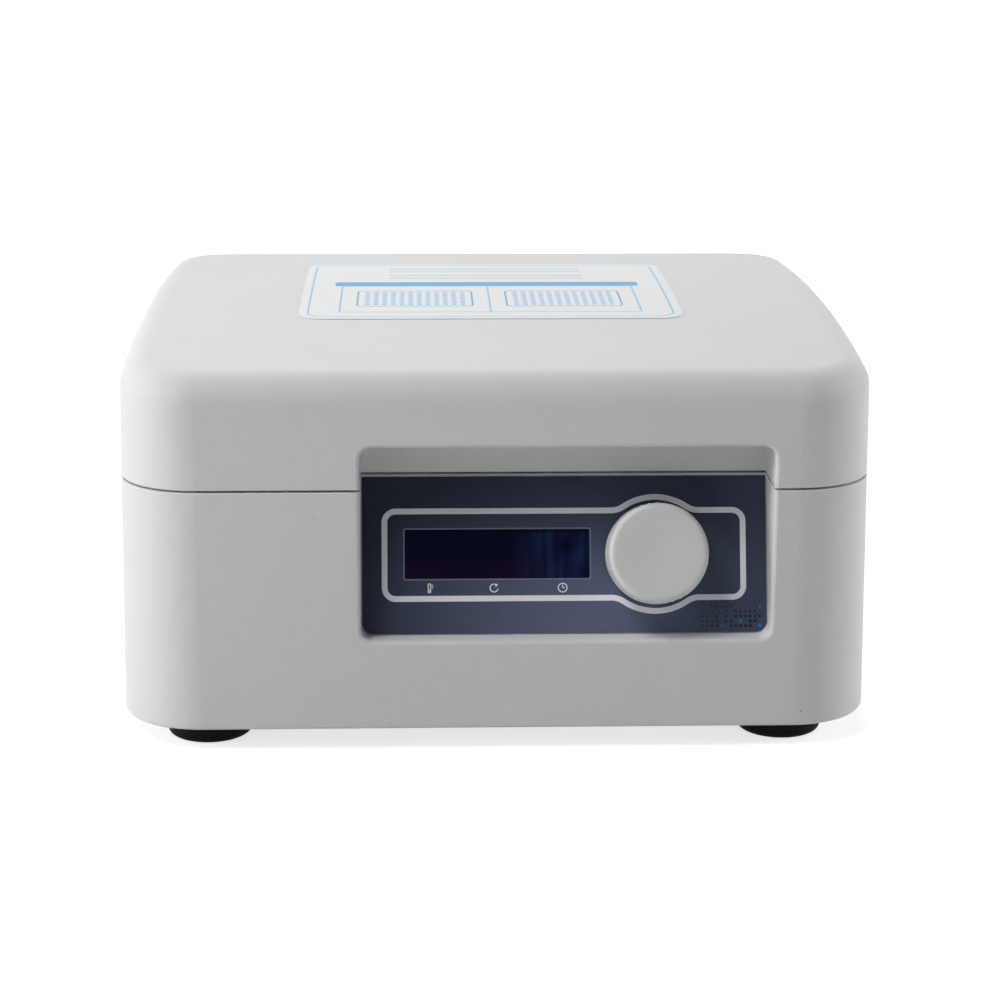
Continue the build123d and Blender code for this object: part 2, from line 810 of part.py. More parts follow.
with BuildPart() as power_inlet:
    with BuildSketch(Plane.XZ.offset(-(rear_face(inlet_z) - 2 * wall))):
        with Locations((inlet_x, inlet_z)):
            RectangleRounded(inlet_flange_wide, inlet_flange_high, inlet_flange_corner)
    extrude(amount=-(inlet_flange_thick + 2 * wall))
    add(outer_form, mode=Mode.SUBTRACT)
    with BuildSketch(rear_plane):
        with Locations((inlet_x, inlet_z)):
            RectangleRounded(inlet_body_wide, inlet_body_high, inlet_body_corner)
    extrude(amount=inlet_body_deep)
    # socket well, drawer slot, rocker well
    with BuildSketch(rear_plane):
        with Locations((socket_x, socket_z)):
            Rectangle(socket_wide, socket_high)
    extrude(amount=socket_deep, mode=Mode.SUBTRACT)
    with BuildSketch(rear_plane):
        with Locations((socket_x, drawer_z)):
            Rectangle(drawer_wide + 2 * slip, drawer_high + 2 * slip)
    extrude(amount=drawer_deep + slip, mode=Mode.SUBTRACT)
    with BuildSketch(rear_plane):
        with Locations((rocker_x, inlet_z)):
            Rectangle(rocker_wide + 2 * slip, rocker_high + 2 * rocker_play)
    extrude(amount=rocker_well, mode=Mode.SUBTRACT)
    with BuildSketch(Plane.YZ.offset(rocker_x)):
        with Locations((rocker_pivot_y, inlet_z)):
            Circle(trunnion_dia / 2 + fit_gap)
    extrude(amount=rocker_wide / 2 + slip + trunnion_long, both=True, mode=Mode.SUBTRACT)
    # slots that hold the blades
    with BuildSketch(Plane.XZ.offset(-(inlet_face - socket_deep))):
        with Locations(*blade_points):
            Rectangle(blade_wide, blade_high)
    extrude(amount=inlet_body_deep, mode=Mode.SUBTRACT)
keep("power_inlet", power_inlet.part)

with BuildPart() as inlet_blades:
    with BuildSketch(Plane.XZ.offset(-(inlet_face - blade_recess))):
        with Locations(*blade_points):
            Rectangle(blade_wide, blade_high)
    extrude(amount=inlet_body_deep + blade_wide)
keep("inlet_blades", inlet_blades.part)

with BuildPart() as fuse_drawer:
    with BuildSketch(rear_plane):
        with Locations((socket_x, drawer_z)):
            Rectangle(drawer_wide, drawer_high)
    extrude(amount=drawer_deep)
    # finger lip on the face, cradle for the fuse inside
    with BuildSketch(rear_plane):
        with Locations((socket_x, drawer_z)):
            RectangleRounded(drawer_wide, drawer_high, drawer_wall)
            with Locations((0, drawer_high / 2 - drawer_lip)):
                Rectangle(drawer_wide / 3, drawer_lip, mode=Mode.SUBTRACT)
    extrude(amount=-drawer_lip)
    with BuildSketch(Plane.XY.offset(drawer_z + drawer_high / 2)):
        with Locations((socket_x, fuse_y)):
            Rectangle(fuse_long + 2 * slip, fuse_dia + 2 * slip)
    extrude(amount=-(drawer_high - drawer_wall), mode=Mode.SUBTRACT)
keep("fuse_drawer", fuse_drawer.part)

with BuildPart() as fuse:
    with BuildSketch(Plane.YZ.offset(socket_x - fuse_long / 2)):
        with Locations((fuse_y, drawer_z - drawer_high / 2 + drawer_wall + fuse_dia / 2)):
            Circle(fuse_dia / 2)
    extrude(amount=fuse_long)
keep("fuse", fuse.part)

rocker_plane = Plane(
    origin=(rocker_x, rocker_pivot_y, inlet_z),
    x_dir=(0, sin(radians(rocker_tilt)), cos(radians(rocker_tilt))),
    z_dir=(-1, 0, 0),
)
half_rocker = rocker_high / 2
with BuildPart() as power_rocker:
    with BuildSketch(rocker_plane):
        with BuildLine():
            Polyline(
                (-half_rocker, rocker_crown),
                (0, rocker_waist),
                (half_rocker, rocker_crown),
                (half_rocker - trunnion_long, -rocker_root),
                (trunnion_long - half_rocker, -rocker_root),
                close=True,
            )
        make_face()
    extrude(amount=rocker_wide / 2, both=True)
    with BuildSketch(rocker_plane):
        Circle(trunnion_dia / 2)
    extrude(amount=rocker_wide / 2 + trunnion_long, both=True)
keep("power_rocker", power_rocker.part)

# ---------------------------------------------------------------- electronics on the bottom plate
board_face = plate_top + spacer_high + board_thick
sink = (0.21, 0.20, 0.42, 0.31, 12.0)
# what stands on the main board: place and size as shares of the board, then height
board_blocks = (
    sink,
    (-0.25, 0.29, 0.25, 0.12, 4.0),     # motor driver
    (-0.25, 0.04, 0.25, 0.18, 14.0),    # relay
    (0.25, -0.16, 0.29, 0.14, 3.0),     # controller
    (-0.29, -0.35, 0.29, 0.06, 9.0),    # sockets
    (0.17, -0.37, 0.38, 0.06, 9.0),
)

with BuildPart() as main_board:
    with BuildSketch(Plane.XY.offset(plate_top + spacer_high)):
        with Locations((-electronics_x, electronics_y)):
            RectangleRounded(main_board_wide, main_board_long, board_corner)
        with Locations(*main_board_points):
            Circle(board_screw_dia / 2 + hole_gap, mode=Mode.SUBTRACT)
    extrude(amount=board_thick)
    for share_x, share_y, wide, long, high in board_blocks:
        with BuildSketch(Plane.XY.offset(board_face)):
            with Locations(
                (share_x * main_board_wide - electronics_x, share_y * main_board_long + electronics_y)
            ):
                Rectangle(wide * main_board_wide, long * main_board_long)
        extrude(amount=high)
    # slots between the heat sink's fins
    with BuildSketch(Plane.XY.offset(board_face + fin_root)):
        with Locations(
            (sink[0] * main_board_wide - electronics_x, sink[1] * main_board_long + electronics_y)
        ):
            with GridLocations(2 * fin_gap, 0, fin_slots, 1):
                Rectangle(fin_gap, sink[3] * main_board_long + 2 * fin_gap)
    extrude(amount=sink[4], mode=Mode.SUBTRACT)
keep("main_board", main_board.part)

with BuildPart() as power_supply:
    with BuildSketch(Plane.XY.offset(plate_top)):
        with Locations((electronics_x, electronics_y)):
            RectangleRounded(supply_wide, supply_long, board_corner)
    extrude(amount=supply_high)
    fillet(power_supply.faces().sort_by(Axis.Z)[-1].edges(), board_corner / 2)
    # vent slots across the lid of its cage, terminal strip at the end
    with BuildSketch(Plane.XY.offset(plate_top + supply_high)):
        with Locations((electronics_x, electronics_y)):
            with GridLocations(0, supply_slot_pitch, 1, supply_slots):
                SlotOverall(supply_slot_long, supply_slot_wide)
    extrude(amount=-supply_slot_deep, mode=Mode.SUBTRACT)
    with BuildSketch(Plane.XZ.offset(-(electronics_y + supply_long / 2))):
        with Locations((electronics_x, plate_top + terminal_deep)):
            Rectangle(terminal_wide, terminal_high)
    extrude(amount=-terminal_deep)
keep("power_supply", power_supply.part)

# ---------------------------------------------------------------- drive
idler_points = corners(idler_x, idler_y, chamber_y)
cup_bottom = drive_plate_top - lower_bearing_high - cup_floor
motor_top = drive_plate_bottom
motor_bottom = motor_top - motor_height
motor_screw_points = [
    (motor_screw_radius * dx, chamber_y + motor_screw_radius * dy)
    for dx, dy in ((1, 0), (-1, 0), (0, 1), (0, -1))
]
shaft_hole = drive_shaft_dia / 2 + shaft_clear
pin_hole = idler_pin_dia / 2 + pin_clear

with BuildPart() as drive_plate:
    with BuildSketch(Plane.XY.offset(drive_plate_bottom)):
        with Locations((0, chamber_y)):
            RectangleRounded(2 * (pillar_x + plate_margin), 2 * (pillar_y + plate_margin), plate_corner)
        with Locations((0, chamber_y)):
            Circle(shaft_hole, mode=Mode.SUBTRACT)
        with Locations(*motor_screw_points):
            Circle(m3_dia / 2 + hole_gap, mode=Mode.SUBTRACT)
        with Locations(*pillar_points):
            Circle(m4_dia / 2 + hole_gap, mode=Mode.SUBTRACT)
    extrude(amount=drive_plate_thick)
    with BuildSketch(Plane.XY.offset(cup_bottom)):
        with Locations(*idler_points):
            Circle(lower_bearing_dia / 2 + cup_wall)
    extrude(amount=drive_plate_top - cup_bottom)
    with BuildSketch(Plane.XY.offset(cup_bottom + cup_floor)):
        with Locations(*idler_points):
            Circle(lower_bearing_dia / 2 + seat_gap)
    extrude(amount=lower_bearing_high + 1, mode=Mode.SUBTRACT)
    with BuildSketch(Plane.XY.offset(cup_bottom)):
        with Locations(*idler_points):
            Circle(pin_hole)
    extrude(amount=cup_floor + 1, mode=Mode.SUBTRACT)
keep("drive_plate", drive_plate.part)

with BuildPart() as pillars:
    for x, y in pillar_points:
        with BuildSketch(Plane(origin=(x, y, plate_top))):
            RegularPolygon(pillar_dia / 2, 6)
            Circle(m4_dia / 2 + fit_gap, mode=Mode.SUBTRACT)
        extrude(amount=drive_plate_bottom - plate_top)
keep("pillars", pillars.part)

with BuildPart() as drive_motor:
    with BuildSketch(Plane.XY.offset(motor_bottom)):
        with Locations((0, chamber_y)):
            Circle(motor_dia / 2)
    extrude(amount=motor_height)
    fillet(drive_motor.edges().group_by(Axis.Z)[0], motor_round)
    with BuildSketch(Plane.XY.offset(motor_bottom + motor_back)):
        with Locations((0, chamber_y)):
            Circle(drive_shaft_dia / 2 + fit_gap)
    extrude(amount=motor_height, mode=Mode.SUBTRACT)
    with BuildSketch(Plane.XY.offset(motor_top - m3_long)):
        with Locations(*motor_screw_points):
            Circle(m3_dia / 2 + fit_gap)
    extrude(amount=m3_long + 1, mode=Mode.SUBTRACT)
keep("drive_motor", drive_motor.part)

with BuildPart() as lower_bearings:
    with BuildSketch(Plane.XY.offset(cup_bottom + cup_floor)):
        with Locations(*idler_points):
            Circle(lower_bearing_dia / 2)
            Circle(idler_pin_dia / 2 + fit_gap, mode=Mode.SUBTRACT)
    extrude(amount=lower_bearing_high)
keep("lower_bearings", lower_bearings.part)

with BuildPart() as drive_crank:
    with BuildSketch(Plane.XY.offset(motor_bottom + motor_back + slip)):
        with Locations((0, chamber_y)):
            Circle(drive_shaft_dia / 2)
    extrude(amount=web_bottom - motor_bottom - motor_back)
    with BuildSketch(Plane.XY.offset(web_bottom)):
        with Locations((0, chamber_y)):
            Circle(crank_hub_dia / 2)
    extrude(amount=hub_thick)
    with BuildSketch(Plane.XY.offset(web_bottom + hub_thick)):
        with Locations((orbit_radius, chamber_y)):
            Circle(crank_pin_dia / 2)
    extrude(amount=bearing_top + slip - web_bottom - hub_thick)
keep("drive_crank", drive_crank.part)

with BuildPart() as counterweight:
    with BuildSketch(Plane.XY.offset(web_bottom)):
        with Locations((0, chamber_y)):
            Circle(counterweight_dia / 2)
            Circle(crank_hub_dia / 2 + seat_gap, mode=Mode.SUBTRACT)
        with Locations((counterweight_dia / 2 + pin_clear, chamber_y)):
            Rectangle(counterweight_dia, 2 * counterweight_dia, mode=Mode.SUBTRACT)
    extrude(amount=web_thick)
keep("counterweight", counterweight.part)

for idler_name, (x, y) in zip(foot_names, idler_points):
    with BuildPart() as idler:
        with BuildSketch(Plane(origin=(x, y, cup_bottom))):
            Circle(idler_pin_dia / 2)
        extrude(amount=web_bottom - cup_bottom)
        with BuildSketch(Plane(origin=(x, y, web_bottom))):
            Circle(idler_web_dia / 2)
        extrude(amount=web_thick)
        with BuildSketch(Plane(origin=(x + orbit_radius, y, web_bottom + web_thick))):
            Circle(idler_pin_dia / 2)
        extrude(amount=bearing_top + slip - web_bottom - web_thick)
    keep(f"idler_{idler_name}", idler.part)

# ---------------------------------------------------------------- chamber tub
with BuildPart() as chamber_tub:
    with BuildSketch(Plane.XY.offset(flange_bottom)):
        add(case_outline(base_top, wall + slip))
        with Locations((0, deck_front_y + slip - case_depth)):
            Rectangle(2 * case_width, 2 * case_depth, mode=Mode.SUBTRACT)
    extrude(amount=tub_flange)
    with BuildSketch(Plane.XY.offset(tub_floor)):
        with Locations((0, chamber_y)):
            RectangleRounded(
                chamber_wide + 2 * tub_wall, chamber_long + 2 * tub_wall, chamber_corner + tub_wall
            )
    extrude(amount=flange_bottom - tub_floor)
    with BuildSketch(Plane.XY.offset(tub_floor_top)):
        with Locations((0, chamber_y)):
            RectangleRounded(chamber_wide, chamber_long, chamber_corner)
    extrude(amount=base_top - tub_floor_top + 1, mode=Mode.SUBTRACT)
    with BuildSketch(Plane.XY.offset(tub_floor)):
        with Locations((0, chamber_y)):
            Circle(shaft_hole)
        with Locations(*idler_points):
            Circle(pin_hole)
    extrude(amount=tub_wall, mode=Mode.SUBTRACT)
    # ribs under the floor that stand on the drive plate
    with BuildSketch(Plane.XY.offset(drive_plate_top)):
        with Locations(*corners(idler_x, tub_rib_y, chamber_y)):
            Rectangle(tub_rib_long, tub_rib_wide)
    extrude(amount=tub_floor - drive_plate_top)
keep("chamber_tub", chamber_tub.part)

# ---------------------------------------------------------------- platform
block_screw_points = corners(seat_x, block_screw_y, chamber_y)
crank_point = (orbit_radius, chamber_y)
idler_pin_points = [(x + orbit_radius, y) for x, y in idler_points]
platform_middle = (0, chamber_y)

with BuildPart() as carrier_plate:
    with BuildSketch(Plane.XY.offset(carrier_bottom)):
        with Locations(platform_middle):
            RectangleRounded(block_wide, block_long, platform_corner)
    extrude(amount=carrier_thick)
    with BuildSketch(Plane.XY.offset(carrier_bottom)):
        with Locations(crank_point):
            Circle(crank_bearing_dia / 2 + seat_gap)
        with Locations(*idler_pin_points):
            Circle(upper_bearing_dia / 2 + seat_gap)
    extrude(amount=bearing_top + 1 - carrier_bottom, mode=Mode.SUBTRACT)
    with BuildSketch(Plane.XY.offset(carrier_bottom)):
        with Locations(*block_screw_points):
            Circle(block_screw_dia / 2 + fit_gap)
    extrude(amount=carrier_thick, mode=Mode.SUBTRACT)
keep("carrier_plate", carrier_plate.part)

with BuildPart() as crank_bearing:
    with BuildSketch(Plane.XY.offset(bearing_bottom)):
        with Locations(crank_point):
            Circle(crank_bearing_dia / 2)
            Circle(crank_pin_dia / 2 + fit_gap, mode=Mode.SUBTRACT)
    extrude(amount=upper_bearing_high)
keep("crank_bearing", crank_bearing.part)

with BuildPart() as upper_bearings:
    with BuildSketch(Plane.XY.offset(bearing_bottom)):
        with Locations(*idler_pin_points):
            Circle(upper_bearing_dia / 2)
            Circle(idler_pin_dia / 2 + fit_gap, mode=Mode.SUBTRACT)
    extrude(amount=upper_bearing_high)
keep("upper_bearings", upper_bearings.part)

for sheet_name, low, high in (
    ("platform_foam", carrier_top, foam_top),
    ("platform_heater", foam_top, mat_top),
):
    with BuildPart() as sheet:
        with BuildSketch(Plane.XY.offset(low)):
            with Locations(platform_middle):
                RectangleRounded(block_wide - 2 * mat_margin, block_long - 2 * mat_margin, platform_corner)
            with Locations(*block_screw_points):
                Circle(block_screw_dia / 2 + mat_margin, mode=Mode.SUBTRACT)
        extrude(amount=high - low)
    keep(sheet_name, sheet.part)

clamp_front = seat_front - slip - clamp_deep
clamp_fence_back = block_front + clamp_wall
pocket_points = [
    (side * seat_x + dx, clamp_base + clamp_high / 2)
    for side in (-1, 1)
    for dx in (-spring_spacing / 2, spring_spacing / 2)
]

with BuildPart() as heating_block:
    with BuildSketch(Plane.XY.offset(mat_top)):
        with Locations(platform_middle):
            RectangleRounded(block_wide, block_long, platform_corner)
    extrude(amount=block_thick)
    # side, middle and rear ribs of the two plate seats
    with BuildSketch(Plane.XY.offset(seat_level)):
        with Locations(platform_middle):
            RectangleRounded(block_wide, block_long, platform_corner)
        with Locations(*[(side * seat_x, block_front + seat_long / 2) for side in (-1, 1)]):
            Rectangle(seat_wide, seat_long + 2 * clamp_zone, mode=Mode.SUBTRACT)
    extrude(amount=seat_rib_height)
    # lower strip under the clamps, and the fences that their springs push against
    with BuildSketch(Plane.XY.offset(clamp_floor)):
        with Locations(*[(side * seat_x, seat_front - clamp_zone) for side in (-1, 1)]):
            Rectangle(seat_wide, 2 * clamp_zone)
    extrude(amount=clamp_step + seat_rib_height, mode=Mode.SUBTRACT)
    with BuildSketch(Plane.XY.offset(clamp_floor)):
        with Locations(*[(side * seat_x, block_front + clamp_wall / 2) for side in (-1, 1)]):
            Rectangle(clamp_width, clamp_wall)
    extrude(amount=clamp_high)
    with BuildSketch(Plane.XY.offset(seat_level)):
        with Locations(*block_screw_points):
            Circle(block_head_dia / 2 + hole_gap)
    extrude(amount=-block_head_high - slip, mode=Mode.SUBTRACT)
    with BuildSketch(Plane.XY.offset(seat_level)):
        with Locations(*block_screw_points):
            Circle(block_screw_dia / 2 + hole_gap)
    extrude(amount=-block_thick, mode=Mode.SUBTRACT)
keep("heating_block", heating_block.part)

keep(
    "block_screws",
    screw_set(
        up_planes(block_screw_points, seat_level - slip - block_head_high),
        block_head_dia,
        block_head_high,
        block_screw_dia,
        block_thick + mat_thick + foam_thick + carrier_thick / 2 - block_head_high,
        drive_large,
    ),
)

for side_name, side in (("left", -1), ("right", 1)):
    with BuildPart() as clamp:
        with BuildSketch(Plane.XY.offset(clamp_base)):
            with Locations((side * seat_x, clamp_front + clamp_deep / 2)):
                Rectangle(clamp_width, clamp_deep)
        extrude(amount=clamp_high)
        chamfer(clamp.faces().sort_by(Axis.Z)[-1].edges().sort_by(Axis.Y)[-1], clamp_lead)
        # finger tab along the top
        with BuildSketch(Plane.XY.offset(clamp_base + clamp_high)):
            with Locations((side * seat_x, clamp_front + clamp_wall / 2)):
                RectangleRounded(clamp_width / 2, clamp_wall, clamp_wall / 3)
        extrude(amount=clamp_tab_high)
        with BuildSketch(Plane.XZ.offset(-clamp_front)):
            with Locations(*[p for p in pocket_points if p[0] * side > 0]):
                Circle(spring_dia / 2 + slip)
        extrude(amount=-spring_pocket, mode=Mode.SUBTRACT)
    keep(f"plate_clamp_{side_name}", clamp.part)

    with BuildPart() as springs:
        for x, z in [p for p in pocket_points if p[0] * side > 0]:
            start = Vector(x, clamp_fence_back + spring_wire / 2 + fit_gap, z)
            spring_long = clamp_front + spring_pocket - clamp_fence_back - spring_wire - 2 * fit_gap
            with BuildLine():
                coil = Helix(
                    pitch=spring_long / spring_turns,
                    height=spring_long,
                    radius=(spring_dia - spring_wire) / 2,
                    center=start,
                    direction=(0, 1, 0),
                )
            with BuildSketch(Plane(origin=coil @ 0, z_dir=coil % 0)):
                Circle(spring_wire / 2)
            sweep(path=coil)
    keep(f"clamp_springs_{side_name}", springs.part)

# ---------------------------------------------------------------- lid
lid_boss_x = chamber_wide / 2 + lid_boss_gap
lid_boss_y = chamber_long / 2 + lid_boss_gap
lid_boss_points = [
    (side * lid_boss_x, chamber_y + y) for side in (-1, 1) for y in (-lid_boss_y, 0, lid_boss_y)
]
flange_top = liner_bottom + liner_flange
lid_head_level = liner_bottom + m3_head_high + seat_gap


def crown_level(y, below=0.0):
    """Height of the crown's surface at a depth, or of a surface that far below it."""
    return case_height - below - y * y / (2 * crown_radius)


foam_roof = crown_level(chamber_y + chamber_long / 2, wall) - slip

with BuildPart() as lid_hollow:
    add(inner_form)
    split(bisect_by=Plane.XY.offset(lid_bottom + wall), keep=Keep.TOP)
    add(recess_shell, mode=Mode.SUBTRACT)

with BuildPart() as lid_shell:
    add(outer_form)
    split(bisect_by=Plane.XY.offset(lid_bottom), keep=Keep.TOP)
    fillet(lid_shell.faces().sort_by(Axis.Z)[0].edges(), joint_round)
    with BuildSketch(Plane.XY.offset(lid_bottom - 1)):
        add(case_outline(lid_bottom + wall, wall + pocket_step))
        with Locations((0, deck_front_y - case_depth)):
            Rectangle(2 * case_width, 2 * case_depth, mode=Mode.SUBTRACT)
    extrude(amount=1 + 1.5 * wall, mode=Mode.SUBTRACT)
    add(lid_hollow.part, mode=Mode.SUBTRACT)
    add(recess_space, mode=Mode.SUBTRACT)
    add(mouth_space, mode=Mode.SUBTRACT)
    for x, y in lid_boss_points:
        with BuildSketch(Plane(origin=(x, y, flange_top))):
            Circle(lid_boss_dia / 2)
        extrude(amount=crown_level(y, wall / 2) - flange_top)
    with BuildSketch(Plane.XY.offset(flange_top)):
        with Locations(*lid_boss_points):
            Circle(m3_dia / 2 + fit_gap)
    extrude(amount=m3_long, mode=Mode.SUBTRACT)
    with BuildSketch(Plane.XZ.offset(-case_depth / 2)):
        with Locations(*lid_hinge_points):
            Circle(m3_dia / 2 + fit_gap)
    extrude(amount=wall * 2, both=True, mode=Mode.SUBTRACT)
keep("lid_shell", lid_shell.part)

with BuildPart() as lid_liner:
    with BuildSketch(Plane.XY.offset(liner_bottom)):
        add(case_outline(flange_top, wall + pocket_step + slip))
        with Locations((0, deck_front_y + slip - case_depth)):
            Rectangle(2 * case_width, 2 * case_depth, mode=Mode.SUBTRACT)
    extrude(amount=liner_flange)
    with BuildSketch(Plane.XY.offset(liner_bottom)):
        with Locations((0, chamber_y)):
            RectangleRounded(
                chamber_wide + 2 * liner_wall, chamber_long + 2 * liner_wall, chamber_corner + liner_wall
            )
    extrude(amount=liner_top - liner_bottom)
    with BuildSketch(Plane.XY.offset(liner_bottom)):
        with Locations((0, chamber_y)):
            RectangleRounded(chamber_wide, chamber_long, chamber_corner)
    extrude(amount=liner_top - liner_bottom - liner_wall, mode=Mode.SUBTRACT)
    with BuildSketch(Plane.XY.offset(liner_bottom)):
        with Locations(*lid_boss_points):
            Circle(m3_head_dia / 2 + hole_gap)
    extrude(amount=lid_head_level - liner_bottom, mode=Mode.SUBTRACT)
    with BuildSketch(Plane.XY.offset(liner_bottom)):
        with Locations(*lid_boss_points):
            Circle(m3_dia / 2 + hole_gap)
    extrude(amount=liner_flange, mode=Mode.SUBTRACT)
keep("lid_liner", lid_liner.part)

for sheet_name, low, high, margin in (
    ("lid_heater_plate", lid_plate_bottom, lid_mat_bottom, 1.0),
    ("lid_heater", lid_mat_bottom, liner_top - liner_wall, 6.0),
    ("lid_foam", liner_top, foam_roof, 4.0),
):
    with BuildPart() as sheet:
        with BuildSketch(Plane.XY.offset(low)):
            with Locations((0, chamber_y)):
                RectangleRounded(
                    chamber_wide - 2 * margin, chamber_long - 2 * margin, chamber_corner - margin
                )
        extrude(amount=high - low)
    keep(sheet_name, sheet.part)

with BuildPart() as lid_gasket:
    with BuildSketch(Plane.XY.offset(base_top + slip)):
        with Locations((0, chamber_y)):
            for grow, mode in ((gasket_off + gasket_wide, Mode.ADD), (gasket_off, Mode.SUBTRACT)):
                RectangleRounded(
                    chamber_wide + 2 * grow, chamber_long + 2 * grow, chamber_corner + grow, mode=mode
                )
    extrude(amount=liner_bottom - base_top - slip)
keep("lid_gasket", lid_gasket.part)

with BuildPart() as lid_label:
    with BuildSketch(Plane.XY.offset(case_height - 2 * crown_drop)):
        with Locations((0, label_y)):
            RectangleRounded(label_width, label_depth, label_corner)
    extrude(amount=3 * crown_drop)
    with BuildSketch(Plane.YZ):
        with Locations((0, case_height - crown_radius)):
            Circle(crown_radius + label_lift + label_thick)
            Circle(crown_radius + label_lift, mode=Mode.SUBTRACT)
    extrude(amount=label_width, both=True, mode=Mode.INTERSECT)
keep("lid_label", lid_label.part)

# ---------------------------------------------------------------- hinges
knuckle_middle = hinge_width / 3
leaf_face = rear_face(part_line) + hinge_leaf


def hinge_leaf_form(side, up):
    """One leaf of a rear hinge: up is +1 for the lid's leaf and -1 for the base's."""
    centre = side * hinge_x
    leaf_start = part_line + up * part_gap / 2
    notch_high = knuckle_radius + knuckle_stand_off
    root_high = knuckle_radius - part_gap / 2
    outer_knuckle = (hinge_width - knuckle_middle) / 2 - hinge_side_gap
    outer_from_middle = (hinge_width + knuckle_middle + 2 * hinge_side_gap) / 4
    middle_one = [(centre, knuckle_middle)]
    outer_two = [(centre - outer_from_middle, outer_knuckle), (centre + outer_from_middle, outer_knuckle)]
    if up > 0:
        own, other, holes, bore_gap = middle_one, outer_two, lid_hinge_points, fit_gap
    else:
        own, other, holes, bore_gap = outer_two, middle_one, base_hinge_points, seat_gap
    with BuildPart() as leaf:
        with BuildSketch(Plane.XZ.offset(-(rear_face(part_line) - wall))):
            with Locations((centre, leaf_start + up * hinge_leaf_high / 2)):
                Rectangle(hinge_width, hinge_leaf_high)
            for x, wide in other:
                with Locations((x, part_line)):
                    Rectangle(wide + 4 * hinge_side_gap, 2 * notch_high, mode=Mode.SUBTRACT)
            with Locations(*[p for p in holes if p[0] * side > 0]):
                Circle(m3_dia / 2 + hole_gap, mode=Mode.SUBTRACT)
        extrude(amount=-wall - hinge_leaf)
        for x, wide in own:
            with BuildSketch(Plane.YZ.offset(x - wide / 2)):
                with Locations((hinge_y, part_line)):
                    Circle(knuckle_radius)
                with Locations((hinge_y - knuckle_radius, leaf_start + up * root_high / 2)):
                    Rectangle(2 * knuckle_radius, root_high)
            extrude(amount=wide)
        add(outer_form, mode=Mode.SUBTRACT)
        with BuildSketch(Plane.YZ.offset(centre)):
            with Locations((hinge_y, part_line)):
                Circle(hinge_pin_dia / 2 + bore_gap)
        extrude(amount=hinge_width, both=True, mode=Mode.SUBTRACT)
    return leaf.part


for side_name, side in (("left", -1), ("right", 1)):
    keep(f"hinge_base_leaf_{side_name}", hinge_leaf_form(side, -1))
    keep(f"hinge_lid_leaf_{side_name}", hinge_leaf_form(side, 1))

with BuildPart() as hinge_pins:
    for side in (-1, 1):
        with BuildSketch(Plane.YZ.offset(side * hinge_x - hinge_width / 2)):
            with Locations((hinge_y, part_line)):
                Circle(hinge_pin_dia / 2)
        extrude(amount=hinge_width)
keep("hinge_pins", hinge_pins.part)

# ---------------------------------------------------------------- fasteners
def rear_planes(points):
    return [Plane(origin=(x, leaf_face, z), x_dir=(1, 0, 0), z_dir=(0, 1, 0)) for x, z in points]


def m3_screws(places):
    return screw_set(places, m3_head_dia, m3_head_high, m3_dia, m3_long, drive_medium)


def m4_screws(places):
    return screw_set(places, m4_head_dia, m4_head_high, m4_dia, m4_long, drive_large)


panel_screw_planes = [
    Plane(
        origin=panel_plane.from_local_coords((x, y, panel_board_front - board_thick)),
        x_dir=(1, 0, 0),
        z_dir=(0, tilt_cos, -tilt_sin),
    )
    for x, y in panel_board_points
]
main_screw_planes = up_planes(main_board_points, board_face)

keep(
    "m3_screws",
    m3_screws(
        down_planes(boss_points, plate_bottom)
        + up_planes(motor_screw_points, drive_plate_top)
        + rear_planes(base_hinge_points)
    ),
)
keep(
    "m4_screws",
    m4_screws(
        down_planes(foot_points, foot_head_up)
        + down_planes(pillar_points, plate_bottom)
        + up_planes(pillar_points, drive_plate_top)
    ),
)
keep(
    "board_screws",
    screw_set(
        main_screw_planes + panel_screw_planes,
        board_screw_head_dia,
        board_screw_head_high,
        board_screw_dia,
        board_screw_long,
        drive_small,
    ),
)
keep("lid_screws", m3_screws(down_planes(lid_boss_points, lid_head_level) + rear_planes(lid_hinge_points)))
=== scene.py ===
import json
import math

import bmesh
import bpy
from mathutils import Matrix, Vector
from mathutils.bvhtree import BVHTree


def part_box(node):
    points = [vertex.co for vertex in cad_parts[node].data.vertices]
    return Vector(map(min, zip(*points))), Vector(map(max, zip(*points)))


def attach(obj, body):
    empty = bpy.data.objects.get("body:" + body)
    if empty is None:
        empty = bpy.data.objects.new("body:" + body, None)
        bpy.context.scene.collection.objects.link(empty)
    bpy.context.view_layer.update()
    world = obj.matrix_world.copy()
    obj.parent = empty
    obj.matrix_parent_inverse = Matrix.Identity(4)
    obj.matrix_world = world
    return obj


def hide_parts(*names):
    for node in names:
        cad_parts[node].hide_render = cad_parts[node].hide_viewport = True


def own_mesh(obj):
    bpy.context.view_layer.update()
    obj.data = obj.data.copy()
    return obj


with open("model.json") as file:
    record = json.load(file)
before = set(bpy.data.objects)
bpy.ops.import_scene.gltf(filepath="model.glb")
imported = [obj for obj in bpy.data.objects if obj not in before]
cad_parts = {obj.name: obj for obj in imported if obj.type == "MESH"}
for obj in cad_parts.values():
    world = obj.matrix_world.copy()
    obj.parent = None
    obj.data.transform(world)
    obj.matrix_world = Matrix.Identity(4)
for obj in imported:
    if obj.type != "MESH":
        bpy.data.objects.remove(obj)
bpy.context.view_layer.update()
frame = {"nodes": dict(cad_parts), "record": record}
nodes = frame["nodes"]
mm = 0.001


# helpers for shader and geometry trees
def put(tree, kind, props=None, **inputs):
    # an input is a value or a socket to link; i0, i1 ... stand for places without a name of their own
    node = tree.nodes.new(kind)
    for key, value in (props or {}).items():
        setattr(node, key, value)
    for key, value in inputs.items():
        spot = int(key[1:]) if key[0] == "i" and key[1:].isdigit() else key.replace("_", " ")
        if isinstance(value, bpy.types.NodeSocket):
            tree.links.new(value, node.inputs[spot])
        else:
            node.inputs[spot].default_value = value
    return node


